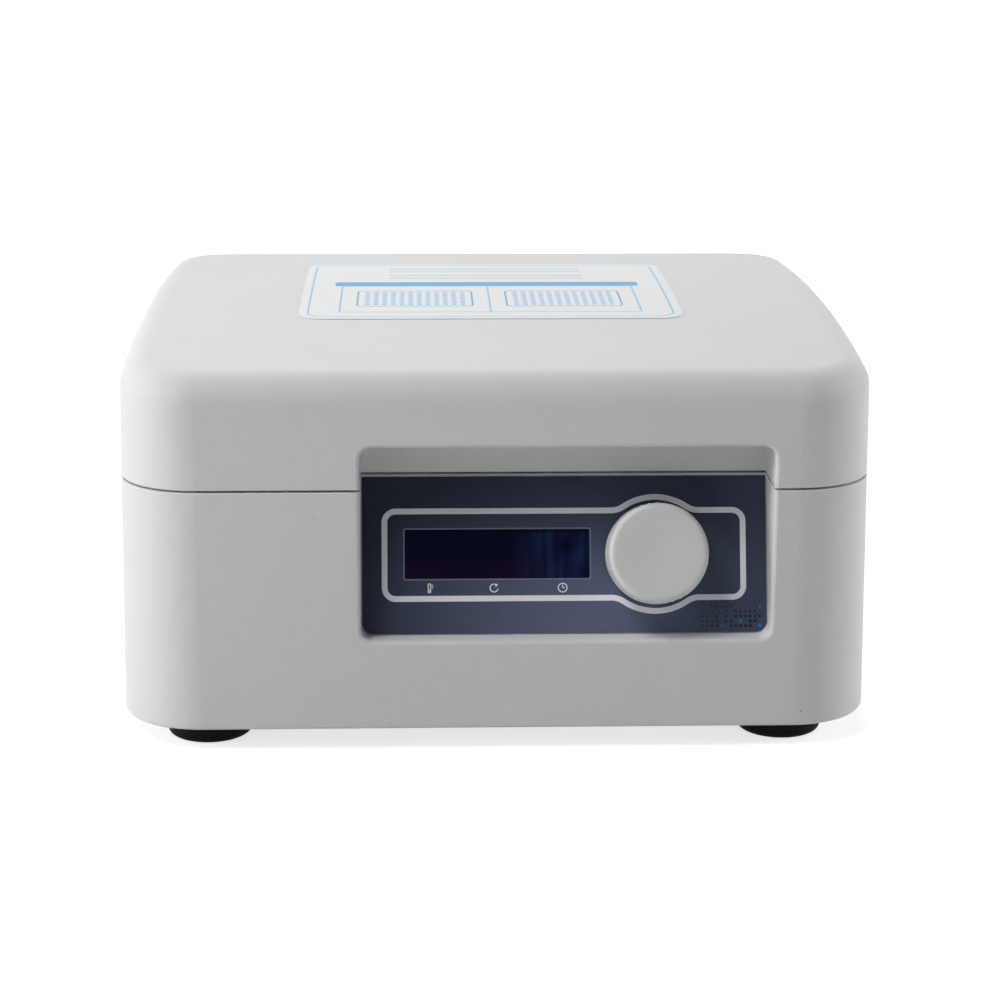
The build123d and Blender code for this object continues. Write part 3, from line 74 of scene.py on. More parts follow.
def calc(tree, operation, a, b=0.0, c=0.0, clamp=False):
    props = {"operation": operation, "use_clamp": clamp}
    return put(tree, "ShaderNodeMath", props, i0=a, i1=b, i2=c).outputs[0]


def product(tree, a, b):
    return calc(tree, "MULTIPLY", a, b)


def lengthOf(tree, a, b):
    return calc(tree, "SQRT", calc(tree, "ADD", product(tree, a, a), product(tree, b, b)))


def spread(tree, value, low, high, outLow=0.0, outHigh=1.0):
    # map range with clamping
    return put(tree, "ShaderNodeMapRange", None, i0=value, i1=low, i2=high, i3=outLow, i4=outHigh).outputs[0]


def noise(tree, coords, scale, detail, **more):
    return put(tree, "ShaderNodeTexNoise", None, Vector=coords, Scale=scale, Detail=detail, **more).outputs[0]


def cellsOf(tree, coords, scale):
    return put(tree, "ShaderNodeTexVoronoi", None, Vector=coords, Scale=scale).outputs


def objectCoords(tree):
    return put(tree, "ShaderNodeTexCoord").outputs["Object"]


def axesOf(tree, vector):
    return put(tree, "ShaderNodeSeparateXYZ", None, Vector=vector).outputs


def vectorCalc(tree, operation, a, b=None):
    inputs = {"i0": a} if b is None else {"i0": a, "i1": b}
    return put(tree, "ShaderNodeVectorMath", {"operation": operation}, **inputs).outputs[0]


def redOf(tree, colour):
    return put(tree, "ShaderNodeSeparateColor", None, Color=colour).outputs[0]


def shaded(tree, colour, factor):
    return put(tree, "ShaderNodeVectorMath", {"operation": "SCALE"}, i0=colour, Scale=factor).outputs[0]


def blendColour(tree, factor, a, b):
    a, b = [side if isinstance(side, bpy.types.NodeSocket) else (*side[:3], 1.0) for side in (a, b)]
    return put(tree, "ShaderNodeMix", {"data_type": "RGBA"}, i0=factor, i6=a, i7=b).outputs[2]


def shaderGroup(name, inputs, outputs):
    tree = bpy.data.node_groups.new(name, "ShaderNodeTree")
    for label, kind, value in inputs:
        socket = tree.interface.new_socket(label, in_out="INPUT", socket_type="NodeSocket" + kind)
        socket.default_value = value
    for label in outputs:
        tree.interface.new_socket(label, in_out="OUTPUT", socket_type="NodeSocketFloat")
    return tree, tree.nodes.new("NodeGroupInput").outputs, tree.nodes.new("NodeGroupOutput").inputs


def useGroup(tree, group, **values):
    return put(tree, "ShaderNodeGroup", {"node_tree": group}, **values).outputs


# surface effects that several materials share
grainLook = {
    "fineDetail": 2.0, "fineRoughness": 0.6, "fineShare": 0.6, "cellScale": 0.6, "pitShare": 0.4,
    "pitFrom": 0.1, "pitTo": 0.8, "broadScale": 14.0, "broadDetail": 3.0, "middle": 0.8,
}


def makeMouldedGrain():
    # spark-eroded texture of a moulding: fine height, faint uneven tint and gloss
    look = grainLook
    tree, given, result = shaderGroup(
        "mouldedGrain",
        [("Grain Size", "Float", 0.0004), ("Tint Amount", "Float", 0.03), ("Gloss Amount", "Float", 0.08)],
        ["Height", "Tint", "Gloss"],
    )
    coords = objectCoords(tree)
    scale = calc(tree, "DIVIDE", 1.0, given["Grain Size"])
    fine = noise(tree, coords, scale, look["fineDetail"], Roughness=look["fineRoughness"])
    cells = cellsOf(tree, coords, product(tree, scale, look["cellScale"]))
    broad = noise(tree, coords, look["broadScale"], look["broadDetail"])
    pits = spread(tree, cells["Distance"], look["pitFrom"], look["pitTo"])
    height = calc(tree, "MULTIPLY_ADD", fine, look["fineShare"], product(tree, pits, look["pitShare"]))
    uneven = calc(tree, "ADD", broad, product(tree, fine, look["fineShare"]))
    uneven = calc(tree, "SUBTRACT", uneven, look["middle"])
    tree.links.new(height, result["Height"])
    tree.links.new(calc(tree, "MULTIPLY_ADD", uneven, given["Tint Amount"], 1.0), result["Tint"])
    tree.links.new(product(tree, uneven, given["Gloss Amount"]), result["Gloss"])
    return tree


scuffLook = {
    "turn": (0.3, 0.5, 0.9), "stretch": (900.0, 25.0, 25.0), "lineFrom": 0.68, "lineTo": 0.74,
    "patchScale": 30.0, "patchFrom": 0.55, "patchTo": 0.65, "speckChance": 0.82,
}


def makeSpecks():
    # rare tiny dark specks and short hairline scuffs
    look = scuffLook
    tree, given, result = shaderGroup(
        "specksAndScuffs",
        [("Speck Spacing", "Float", 0.012), ("Speck Size", "Float", 0.06), ("Scuffs", "Float", 0.5)],
        ["Specks", "Scuffs"],
    )
    coords = objectCoords(tree)
    cells = cellsOf(tree, coords, calc(tree, "DIVIDE", 1.0, given["Speck Spacing"]))
    chosen = calc(tree, "GREATER_THAN", redOf(tree, cells["Color"]), look["speckChance"])
    inside = calc(tree, "LESS_THAN", cells["Distance"], given["Speck Size"])
    tree.links.new(product(tree, chosen, inside), result["Specks"])
    turned = put(tree, "ShaderNodeMapping", None, Vector=coords, Rotation=look["turn"], Scale=look["stretch"])
    lines = spread(tree, noise(tree, turned.outputs[0], 1.0, 1.0), look["lineFrom"], look["lineTo"])
    patch = noise(tree, coords, look["patchScale"], 2.0)
    hair = product(tree, lines, spread(tree, patch, look["patchFrom"], look["patchTo"]))
    tree.links.new(product(tree, hair, given["Scuffs"]), result["Scuffs"])
    return tree


dustLook = {
    "slopeFrom": 0.3, "slopeTo": 1.0, "scale": 22.0, "roughness": 0.65, "patchFrom": 0.35, "patchTo": 0.7,
}


def makeDust():
    # a thin film on faces that look upwards, thicker in patches
    look = dustLook
    tree, given, result = shaderGroup("settledDust", [("Amount", "Float", 0.1)], ["Film"])
    up = axesOf(tree, put(tree, "ShaderNodeNewGeometry").outputs["Normal"])[2]
    patch = noise(tree, objectCoords(tree), look["scale"], 5.0, Roughness=look["roughness"])
    slope = spread(tree, up, look["slopeFrom"], look["slopeTo"])
    film = product(tree, slope, spread(tree, patch, look["patchFrom"], look["patchTo"]))
    tree.links.new(product(tree, film, given["Amount"]), result["Film"])
    return tree


def makeBrushedLines():
    # drawn or turned metal: long fine lines along one axis
    tree, given, result = shaderGroup(
        "brushedLines",
        [("Line Scale", "Vector", (40.0, 2500.0, 2500.0)), ("Depth", "Float", 0.5)],
        ["Height", "Gloss"],
    )
    longWay = vectorCalc(tree, "MULTIPLY", objectCoords(tree), given["Line Scale"])
    lines = noise(tree, longWay, 1.0, 3.0)
    tree.links.new(product(tree, lines, given["Depth"]), result["Height"])
    tree.links.new(calc(tree, "MULTIPLY_ADD", lines, 0.2, -0.1), result["Gloss"])  # evenly about zero
    return tree


frameInkEdge = 0.04 * mm  # half the soft edge of a printed line
wellInkEdge = 0.05 * mm


def makeFrameMask():
    # printed rounded frame in the XY plane: a line of some width, and everything inside it
    tree, given, result = shaderGroup(
        "printedFrame",
        [
            ("Middle", "Vector", (0.0, 0.0, 0.0)),
            ("Half Width", "Float", 0.05),
            ("Half Height", "Float", 0.05),
            ("Corner", "Float", 0.004),
            ("Line Width", "Float", 0.001),
        ],
        ["Line", "Inside"],
    )
    away = vectorCalc(tree, "SUBTRACT", objectCoords(tree), given["Middle"])
    axes = axesOf(tree, vectorCalc(tree, "ABSOLUTE", away))
    sides = []
    for place, half in ((0, "Half Width"), (1, "Half Height")):
        inner = calc(tree, "SUBTRACT", given[half], given["Corner"])
        sides.append(calc(tree, "SUBTRACT", axes[place], inner))
    outer = [calc(tree, "MAXIMUM", side, 0.0) for side in sides]
    depth = calc(tree, "MINIMUM", calc(tree, "MAXIMUM", sides[0], sides[1]), 0.0)
    distance = calc(tree, "ADD", lengthOf(tree, outer[0], outer[1]), depth)
    distance = calc(tree, "SUBTRACT", distance, given["Corner"])
    lineEdge = calc(tree, "ABSOLUTE", distance)
    lineEdge = calc(tree, "SUBTRACT", lineEdge, product(tree, given["Line Width"], 0.5))
    tree.links.new(spread(tree, lineEdge, -frameInkEdge, frameInkEdge, 1.0, 0.0), result["Line"])
    tree.links.new(spread(tree, distance, -frameInkEdge, frameInkEdge, 1.0, 0.0), result["Inside"])
    return tree


def makeWellGrid():
    # twelve by eight round wells printed in the XY plane
    tree, given, result = shaderGroup(
        "wellGrid",
        [("Middle", "Vector", (0.0, 0.0, 0.0)), ("Pitch", "Float", 0.003), ("Well", "Float", 0.001)],
        ["Wells"],
    )
    axes = axesOf(tree, vectorCalc(tree, "SUBTRACT", objectCoords(tree), given["Middle"]))
    inside, shifts = 1.0, []
    for place, halfCount in ((0, 6.0), (1, 4.0)):
        cell = calc(tree, "DIVIDE", axes[place], given["Pitch"])
        near = calc(tree, "LESS_THAN", calc(tree, "ABSOLUTE", cell), halfCount)
        inside = product(tree, near, inside)
        shifts.append(calc(tree, "SUBTRACT", calc(tree, "FRACT", cell), 0.5))
    reach = product(tree, lengthOf(tree, shifts[0], shifts[1]), given["Pitch"])
    edge = calc(tree, "SUBTRACT", reach, given["Well"])
    wells = spread(tree, edge, -wellInkEdge, wellInkEdge, 1.0, 0.0)
    tree.links.new(product(tree, wells, inside), result["Wells"])
    return tree


mouldedGrain = makeMouldedGrain()
specksAndScuffs = makeSpecks()
settledDust = makeDust()
brushedLines = makeBrushedLines()
printedFrame = makeFrameMask()
wellGrid = makeWellGrid()
print("surface effects ready")


# materials; mirror is how strongly a surface reflects what is in front of it
def newMaterial(name, mirror=None):
    material = bpy.data.materials.new(name)
    material.use_nodes = True
    tree = material.node_tree
    skin = tree.nodes["Principled BSDF"]
    if mirror is not None:
        skin.inputs["Specular IOR Level"].default_value = mirror
    return material, tree, skin


def addRelief(tree, skin, height, strength, distance):
    relief = put(tree, "ShaderNodeBump", None, Strength=strength, Distance=distance, Height=height)
    tree.links.new(relief.outputs[0], skin.inputs["Normal"])


wear = {
    "speckColour": (0.12, 0.11, 0.1), "speckSpacing": 0.016, "speckSize": 0.022, "speckStrength": 0.6,
    "scuffPale": 1.15, "scuffStrength": 0.25, "scuffShine": -0.15,
    "dustColour": (0.62, 0.6, 0.57), "dustDull": 0.35,
}


def mouldedPlastic(
    name, colour, roughness=0.45, grain=0.0004, bump=0.06, tint=0.03,
    specks=0.0, dust=0.0, coat=0.0, mirror=0.35,
):
    material, tree, skin = newMaterial(name, mirror)
    moulded = useGroup(tree, mouldedGrain, Grain_Size=grain, Tint_Amount=tint, Gloss_Amount=0.08)
    tone = shaded(tree, colour, moulded["Tint"])
    shine = calc(tree, "ADD", moulded["Gloss"], roughness)
    if specks:
        marks = useGroup(
            tree, specksAndScuffs,
            Speck_Spacing=wear["speckSpacing"], Speck_Size=wear["speckSize"], Scuffs=specks,
        )
        tone = blendColour(
            tree, product(tree, marks["Specks"], wear["speckStrength"]), tone, wear["speckColour"],
        )
        paler = tuple(min(1.0, c * wear["scuffPale"]) for c in colour)
        tone = blendColour(tree, product(tree, marks["Scuffs"], wear["scuffStrength"]), tone, paler)
        shine = calc(tree, "MULTIPLY_ADD", marks["Scuffs"], wear["scuffShine"], shine)
    if dust:
        film = useGroup(tree, settledDust, Amount=dust)["Film"]
        tone = blendColour(tree, film, tone, wear["dustColour"])
        shine = calc(tree, "MULTIPLY_ADD", film, wear["dustDull"], shine, clamp=True)
    tree.links.new(tone, skin.inputs["Base Color"])
    tree.links.new(shine, skin.inputs["Roughness"])
    addRelief(tree, skin, moulded["Height"], bump, grain)
    skin.inputs["Coat Weight"].default_value = coat
    return material


metalWork = {"grain": 0.0008, "tint": 0.12, "gloss": 0.1, "lineDepth": 0.5, "relief": 0.0002}


def workedMetal(name, colour, roughness=0.3, lines=(40.0, 2500.0, 2500.0), bump=0.08):
    material, tree, skin = newMaterial(name)
    drawn = useGroup(tree, brushedLines, Line_Scale=lines, Depth=metalWork["lineDepth"])
    moulded = useGroup(
        tree, mouldedGrain,
        Grain_Size=metalWork["grain"], Tint_Amount=metalWork["tint"], Gloss_Amount=metalWork["gloss"],
    )
    tree.links.new(shaded(tree, colour, moulded["Tint"]), skin.inputs["Base Color"])
    shine = calc(tree, "ADD", drawn["Gloss"], roughness)
    tree.links.new(calc(tree, "ADD", shine, moulded["Gloss"], clamp=True), skin.inputs["Roughness"])
    addRelief(tree, skin, drawn["Height"], bump, metalWork["relief"])
    skin.inputs["Metallic"].default_value = 1.0
    return material


# pale is the film's colour under painted light, and dark is its colour under painted shade
panelFilm = {
    "dark": (0.022, 0.026, 0.047), "pale": (0.122, 0.148, 0.235), "fleck": (0.3, 0.31, 0.35),
    "mirror": 0.1, "roughness": 0.42, "grain": 0.0003, "tint": 0.1, "gloss": 0.12,
    "paintedLightShift": 0.008, "paintedLightWidth": 0.58, "paintedLightHeight": 0.95, "paintedLightFrom": 0.1, "paintedLightTo": 1.08,
    "paintedEdgeLightWidth": 0.03, "paintedEdgeLight": 0.38,
    "fleckScale": 1400.0, "fleckChance": 0.975, "fleckFrom": 0.1, "fleckTo": 0.35, "fleckStrength": 0.3,
    "specks": 0.5, "speckSpacing": 0.007, "speckSize": 0.02,
}


def blackPrint(name):
    # dark blue-grey film with painted light: paler towards the lower middle and along the right edge, darker
    # towards the top as painted shade, with a fine sparkle
    look = panelFilm
    material, tree, skin = newMaterial(name, look["mirror"])
    coords = objectCoords(tree)
    axes = axesOf(tree, coords)
    low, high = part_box("panel_overlay")
    # painted light: a pool of light paling the lower middle, and a lighter band along the right edge
    across = calc(tree, "SUBTRACT", axes[0], (low[0] + high[0]) / 2 + look["paintedLightShift"])
    across = calc(tree, "DIVIDE", across, (high[0] - low[0]) * look["paintedLightWidth"])
    drop = product(tree, spread(tree, axes[2], low[2], high[2]), look["paintedLightHeight"])
    glow = spread(tree, lengthOf(tree, across, drop), look["paintedLightFrom"], look["paintedLightTo"], 1.0, 0.0)
    edge = spread(tree, axes[0], high[0] - look["paintedEdgeLightWidth"], high[0], 0.0, look["paintedEdgeLight"])
    tone = blendColour(tree, calc(tree, "MAXIMUM", glow, edge), look["dark"], look["pale"])
    flecks = cellsOf(tree, coords, look["fleckScale"])
    chosen = calc(tree, "GREATER_THAN", redOf(tree, flecks["Color"]), look["fleckChance"])
    glint = spread(tree, flecks["Distance"], look["fleckFrom"], look["fleckTo"], look["fleckStrength"], 0.0)
    tone = blendColour(tree, product(tree, chosen, glint), tone, look["fleck"])
    marks = useGroup(
        tree, specksAndScuffs, Speck_Spacing=look["speckSpacing"], Speck_Size=look["speckSize"],
    )
    tone = blendColour(tree, product(tree, marks["Specks"], look["specks"]), tone, look["fleck"])
    tree.links.new(tone, skin.inputs["Base Color"])
    moulded = useGroup(
        tree, mouldedGrain, Grain_Size=look["grain"], Tint_Amount=look["tint"], Gloss_Amount=look["gloss"],
    )
    tree.links.new(calc(tree, "ADD", moulded["Gloss"], look["roughness"]), skin.inputs["Roughness"])
    addRelief(tree, skin, moulded["Height"], 0.05, 0.0002)
    return material


windowGlass = {
    # blue is the colour of a painted streaked reflection towards the right
    "base": (0.001, 0.0015, 0.024), "purple": (0.02, 0.004, 0.03), "blue": (0.02, 0.06, 0.19),
    # edge is the near-black of a painted shadow under the top of the opening
    "edge": (0.0008, 0.0008, 0.001), "mirror": 0.03, "refraction": 1.49,
    "shade": 0.0035, "shadeEnd": 0.4, "warpScale": 45.0, "reflectionFrom": 0.03, "reflectionTo": 0.008,
    "reflectionStreakTurn": (0.0, 0.12, 0.0), "reflectionStreakStretch": (420.0, 1.0, 30.0), "reflectionStreakLeast": 0.35,
    "smearScale": 90.0, "smearRoughness": 0.7, "clean": 0.06, "smeared": 0.22,
}


def darkGlass(name):
    # display window: near-black blue glass with a faint purple film colour lower down, a painted blue
    # streaked reflection towards the right, a painted shadow under its top edge, and finger smears
    look = windowGlass
    material, tree, skin = newMaterial(name, look["mirror"])
    coords = objectCoords(tree)
    axes = axesOf(tree, coords)
    low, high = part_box("display_window")
    warp = noise(tree, coords, look["warpScale"], 2.0)
    lower = spread(tree, axes[2], low[2], (low[2] + high[2]) / 2, 1.0, 0.0)
    lower = product(tree, lower, spread(tree, warp, 0.38, 0.62))
    # painted reflection: blue streaks across the right end of the glass
    right = spread(tree, axes[0], high[0] - look["reflectionFrom"], high[0] - look["reflectionTo"])
    right = product(tree, right, spread(tree, warp, 0.35, 0.7))
    reflectionStreakPlaces = put(
        tree, "ShaderNodeMapping", None, Vector=coords, Rotation=look["reflectionStreakTurn"], Scale=look["reflectionStreakStretch"],
    ).outputs[0]
    reflectionStreaks = spread(tree, noise(tree, reflectionStreakPlaces, 1.0, 1.0), 0.35, 0.65, look["reflectionStreakLeast"], 1.0)
    tone = blendColour(tree, lower, look["base"], look["purple"])
    tone = blendColour(tree, product(tree, right, reflectionStreaks), tone, look["blue"])
    # painted shadow: the glass turns near black just below its top edge, under the top of the opening
    rim = spread(tree, axes[2], high[2] - look["shade"], high[2] - look["shadeEnd"] * look["shade"])
    tree.links.new(blendColour(tree, rim, tone, look["edge"]), skin.inputs["Base Color"])
    smear = noise(tree, coords, look["smearScale"], 6.0, Roughness=look["smearRoughness"])
    tree.links.new(spread(tree, smear, 0.45, 0.8, look["clean"], look["smeared"]), skin.inputs["Roughness"])
    skin.inputs["IOR"].default_value = look["refraction"]
    return material


labelInks = {"white": (0.82, 0.83, 0.84), "pale": (0.2, 0.54, 0.8), "blue": (0.07, 0.36, 0.66), "mirror": 0.2}
labelSheet = {
    "edge": 0.0035, "corner": 0.0065, "line": 0.0007, "sideInset": 0.0125,
    "rules": (0.046, 0.039, 0.028, 0.021), "ruleHalf": 0.04, "ruleThick": 0.0014,
    "band": 0.0068, "bandHalf": 0.0046, "bandCorner": 0.0012,
    "field": -0.024, "fieldHalfX": 0.0583, "fieldHalfY": 0.0255, "fieldCorner": 0.0004,
    "plateX": 0.0292, "plateHalfX": 0.0225, "plateHalfY": 0.0152, "plateCorner": 0.0022,
    "pitch": 0.0034, "well": 0.0011,
}


def printedLabel(name):
    # white film: a pale blue frame, ruled lines, a heading band and two fields with a plate of wells in each
    look, sheet = labelInks, labelSheet
    low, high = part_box("lid_label")
    middle = ((low[0] + high[0]) / 2, (low[1] + high[1]) / 2)
    halfX, halfY = (high[0] - low[0]) / 2, (high[1] - low[1]) / 2
    material, tree, skin = newMaterial(name, look["mirror"])
    moulded = useGroup(tree, mouldedGrain, Grain_Size=0.0005, Tint_Amount=0.02, Gloss_Amount=0.05)
    tone = shaded(tree, look["white"], moulded["Tint"])
    line, pale, blue, field = sheet["line"], look["pale"], look["blue"], sheet["field"]
    # which mask, place across and up, half width, half height, corner, colour
    prints = [
        ("Line", 0.0, 0.0, halfX - sheet["edge"], halfY - sheet["edge"], sheet["corner"], pale),
        (
            "Inside", 0.0, sheet["band"], halfX - sheet["sideInset"], sheet["bandHalf"], sheet["bandCorner"],
            blue,
        ),
        ("Line", 0.0, field, sheet["fieldHalfX"], sheet["fieldHalfY"], sheet["fieldCorner"], pale),
        ("Inside", 0.0, field, line / 2, sheet["fieldHalfY"], line / 2, pale),
    ]
    ruleThin = sheet["ruleThick"] / 2
    for rule in sheet["rules"]:
        prints.append(("Inside", 0.0, rule, sheet["ruleHalf"], ruleThin, ruleThin, pale))
    for side in (-1, 1):
        across = side * sheet["plateX"]
        prints.append(
            ("Line", across, field, sheet["plateHalfX"], sheet["plateHalfY"], sheet["plateCorner"], blue)
        )
    for part, x, y, halfWide, halfHigh, corner, colour in prints:
        mask = useGroup(
            tree, printedFrame,
            Middle=(middle[0] + x, middle[1] + y, 0.0),
            Half_Width=halfWide, Half_Height=halfHigh, Corner=corner, Line_Width=line,
        )[part]
        tone = blendColour(tree, mask, tone, colour)
    for side in (-1, 1):
        place = (middle[0] + side * sheet["plateX"], middle[1] + field, 0.0)
        wells = useGroup(tree, wellGrid, Middle=place, Pitch=sheet["pitch"], Well=sheet["well"])["Wells"]
        tone = blendColour(tree, wells, tone, pale)
    tree.links.new(tone, skin.inputs["Base Color"])
    tree.links.new(calc(tree, "ADD", moulded["Gloss"], 0.34), skin.inputs["Roughness"])
    addRelief(tree, skin, moulded["Height"], 0.04, 0.0003)
    return material


finishes = {
    "pale_plastic": mouldedPlastic(
        "casePlastic", (0.735, 0.738, 0.75), roughness=0.56, grain=0.0005, bump=0.2, tint=0.06, specks=0.5,
        dust=0.03, mirror=0.22,
    ),
    "knob_plastic": mouldedPlastic(
        "knobPlastic", (0.69, 0.69, 0.685), roughness=0.4, grain=0.0004, bump=0.12, tint=0.05, specks=0.3,
    ),
    "foot_rubber": mouldedPlastic(
        "footRubber", (0.006, 0.006, 0.007), roughness=0.62, grain=0.0006, bump=0.2, tint=0.3, dust=0.04,
        mirror=0.08,
    ),
    "painted_sheet": mouldedPlastic("powderCoat", (0.6, 0.61, 0.61), roughness=0.5, grain=0.0007, bump=0.25),
    "plated_steel": workedMetal("zincPlate", (0.62, 0.62, 0.6), roughness=0.34),
    "screw_steel": workedMetal("screwSteel", (0.46, 0.455, 0.44), roughness=0.3, lines=(900.0, 900.0, 900.0)),
    "overlay_print": blackPrint("panelFilm"),
    "window_acrylic": darkGlass("windowAcrylic"),
    "display_black": mouldedPlastic("moduleBlack", (0.015, 0.015, 0.018), roughness=0.4),
    "circuit_board": mouldedPlastic(
        "solderMask", (0.02, 0.14, 0.07), roughness=0.3, grain=0.001, tint=0.25, coat=0.3,
    ),
    "supply_cage": workedMetal("supplyCage", (0.58, 0.59, 0.58), roughness=0.36),
    "inner_plastic": mouldedPlastic("innerPlastic", (0.8, 0.8, 0.77), roughness=0.5),
    "inlet_plastic": mouldedPlastic("inletPlastic", (0.018, 0.018, 0.019), roughness=0.38, dust=0.06),
    "blade_brass": workedMetal("bladeBrass", (0.72, 0.55, 0.25), roughness=0.3),
    "fuse_glass": mouldedPlastic("fuseGlass", (0.7, 0.74, 0.74), roughness=0.12, bump=0.01, coat=0.5),
    "motor_can": mouldedPlastic("motorEnamel", (0.03, 0.03, 0.032), roughness=0.4),
    "bearing_steel": workedMetal(
        "groundSteel", (0.66, 0.66, 0.67), roughness=0.2, lines=(2500.0, 2500.0, 60.0),
    ),
    "tub_plastic": mouldedPlastic("tubPlastic", (0.11, 0.115, 0.12), roughness=0.45, grain=0.0006, dust=0.08),
    "platform_alloy": workedMetal(
        "anodisedAlloy", (0.47, 0.475, 0.485), roughness=0.5, lines=(1800.0, 1800.0, 1800.0), bump=0.15,
    ),
    "heater_silicone": mouldedPlastic("heaterSilicone", (0.5, 0.12, 0.04), roughness=0.55),
    "foam": mouldedPlastic("closedFoam", (0.2, 0.2, 0.21), roughness=0.85, grain=0.0015, bump=0.6, tint=0.3),
    "gasket_rubber": mouldedPlastic(
        "gasketRubber", (0.03, 0.03, 0.032), roughness=0.6, grain=0.0008, bump=0.2,
    ),
    "label_film": printedLabel("labelFilm"),
    "clamp_plastic": mouldedPlastic("clampPlastic", (0.02, 0.02, 0.022), roughness=0.42),
    "hinge_steel": workedMetal("hingeSteel", (0.4, 0.4, 0.395), roughness=0.38, lines=(1800.0, 60.0, 60.0)),
}
slotOf = {row["node"]: row["material_slot"] for row in frame["record"]["subparts"]}
for name, part in nodes.items():
    for place in part.material_slots:
        place.material = finishes[slotOf[name]]
print("finishes:", len(finishes))


# mesh helpers
def newPiece(name, mesh, material, body, replaced=()):
    piece = bpy.data.objects.new(name, mesh)
    bpy.context.scene.collection.objects.link(piece)
    mesh.materials.clear()
    mesh.materials.append(material)
    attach(piece, body)
    if replaced:
        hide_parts(*replaced)
    return piece


def meshFrom(name, points, faces, place=None, smooth=None):
    mesh = bpy.data.meshes.new(name)
    mesh.from_pydata(points, [], faces)
    if place is not None:
        mesh.transform(place)
    work = bmesh.new()
    work.from_mesh(mesh)
    bmesh.ops.remove_doubles(work, verts=work.verts, dist=1e-7)
    bmesh.ops.recalc_face_normals(work, faces=work.faces)
    work.to_mesh(mesh)
    work.free()
    if smooth is not None:
        shadeByAngle(mesh, smooth)
    return mesh


def shadeByAngle(mesh, angle):
    mesh.shade_smooth()
    mesh.set_sharp_from_angle(angle=math.radians(angle))


def joined(name, meshes):
    work = bmesh.new()
    for mesh in meshes:
        work.from_mesh(mesh)
        bpy.data.meshes.remove(mesh)
    whole = bpy.data.meshes.new(name)
    work.to_mesh(whole)
    work.free()
    return whole


def growTree(name, inputs):
    tree = bpy.data.node_groups.new(name, "GeometryNodeTree")
    for label, kind, value in inputs:
        socket = tree.interface.new_socket(label, in_out="INPUT", socket_type="NodeSocket" + kind)
        socket.default_value = value
    tree.interface.new_socket("Finish", in_out="INPUT", socket_type="NodeSocketMaterial")
    tree.interface.new_socket("Geometry", in_out="OUTPUT", socket_type="NodeSocketGeometry")
    return tree, tree.nodes.new("NodeGroupInput").outputs, tree.nodes.new("NodeGroupOutput").inputs


def closeTree(tree, given, result, instances):
    # real geometry with its finish, so that nothing is left as an instance
    real = put(tree, "GeometryNodeRealizeInstances", None, Geometry=instances).outputs[0]
    finished = put(tree, "GeometryNodeSetMaterial", None, Geometry=real, Material=given["Finish"]).outputs[0]
    tree.links.new(finished, result["Geometry"])
    return tree


def grow(name, tree, finish, place, smooth=None, **values):
    # runs a tree with its own sizes and keeps the result as a plain mesh
    carrier = bpy.data.objects.new(name + "Carrier", bpy.data.meshes.new(name + "Carrier"))
    bpy.context.scene.collection.objects.link(carrier)
    modifier = carrier.modifiers.new("grow", "NODES")
    modifier.node_group = tree
    places = {item.name: item.identifier for item in tree.interface.items_tree if item.in_out == "INPUT"}
    modifier[places["Finish"]] = finish
    for key, value in values.items():
        modifier[places[key.replace("_", " ")]] = value
    evaluated = carrier.evaluated_get(bpy.context.evaluated_depsgraph_get())
    mesh = bpy.data.meshes.new_from_object(evaluated)
    mesh.name = name
    carrier.modifiers.remove(modifier)
    bpy.data.objects.remove(carrier)
    mesh.transform(place)
    if smooth is not None:
        shadeByAngle(mesh, smooth)
    return mesh


def makeDotField():
    # a field of flat round dots that shrink away from one corner, some left out
    tree, given, result = growTree("dotField", [
        ("Columns", "Int", 12), ("Rows", "Int", 8), ("Pitch", "Float", 0.002), ("Dot Size", "Float", 0.001),
        ("Thickness", "Float", 0.0001), ("Fade", "Float", 1.0), ("Keep", "Float", 1.0), ("Seed", "Int", 1),
    ])
    wide = product(tree, calc(tree, "SUBTRACT", given["Columns"], 1.0), given["Pitch"])
    tall = product(tree, calc(tree, "SUBTRACT", given["Rows"], 1.0), given["Pitch"])
    grid = put(
        tree, "GeometryNodeMeshGrid", None,
        Size_X=wide, Size_Y=tall, Vertices_X=given["Columns"], Vertices_Y=given["Rows"],
    )
    axes = axesOf(tree, put(tree, "GeometryNodeInputPosition").outputs[0])
    fromRight = calc(tree, "SUBTRACT", 0.5, calc(tree, "DIVIDE", axes[0], wide))
    fromLow = calc(tree, "ADD", 0.5, calc(tree, "DIVIDE", axes[1], tall))
    faded = product(tree, lengthOf(tree, fromRight, fromLow), given["Fade"])
    shrink = calc(tree, "SUBTRACT", 1.0, faded)
    scale = calc(tree, "MAXIMUM", shrink, 0.0)
    chance = put(tree, "FunctionNodeRandomValue", {"data_type": "FLOAT"}, Seed=given["Seed"]).outputs[1]
    visible = calc(tree, "GREATER_THAN", scale, 0.12)  # smaller dots are left out
    kept = product(tree, calc(tree, "LESS_THAN", chance, given["Keep"]), visible)
    dot = put(
        tree, "GeometryNodeMeshCylinder", None,
        Vertices=12, Radius=product(tree, given["Dot Size"], 0.5), Depth=given["Thickness"],
    )
    sizes = put(tree, "ShaderNodeCombineXYZ", None, X=scale, Y=scale, Z=1.0).outputs[0]
    dots = put(
        tree, "GeometryNodeInstanceOnPoints", None,
        Points=grid.outputs["Mesh"], Selection=kept, Instance=dot.outputs["Mesh"], Scale=sizes,
    )
    return closeTree(tree, given, result, dots.outputs[0])


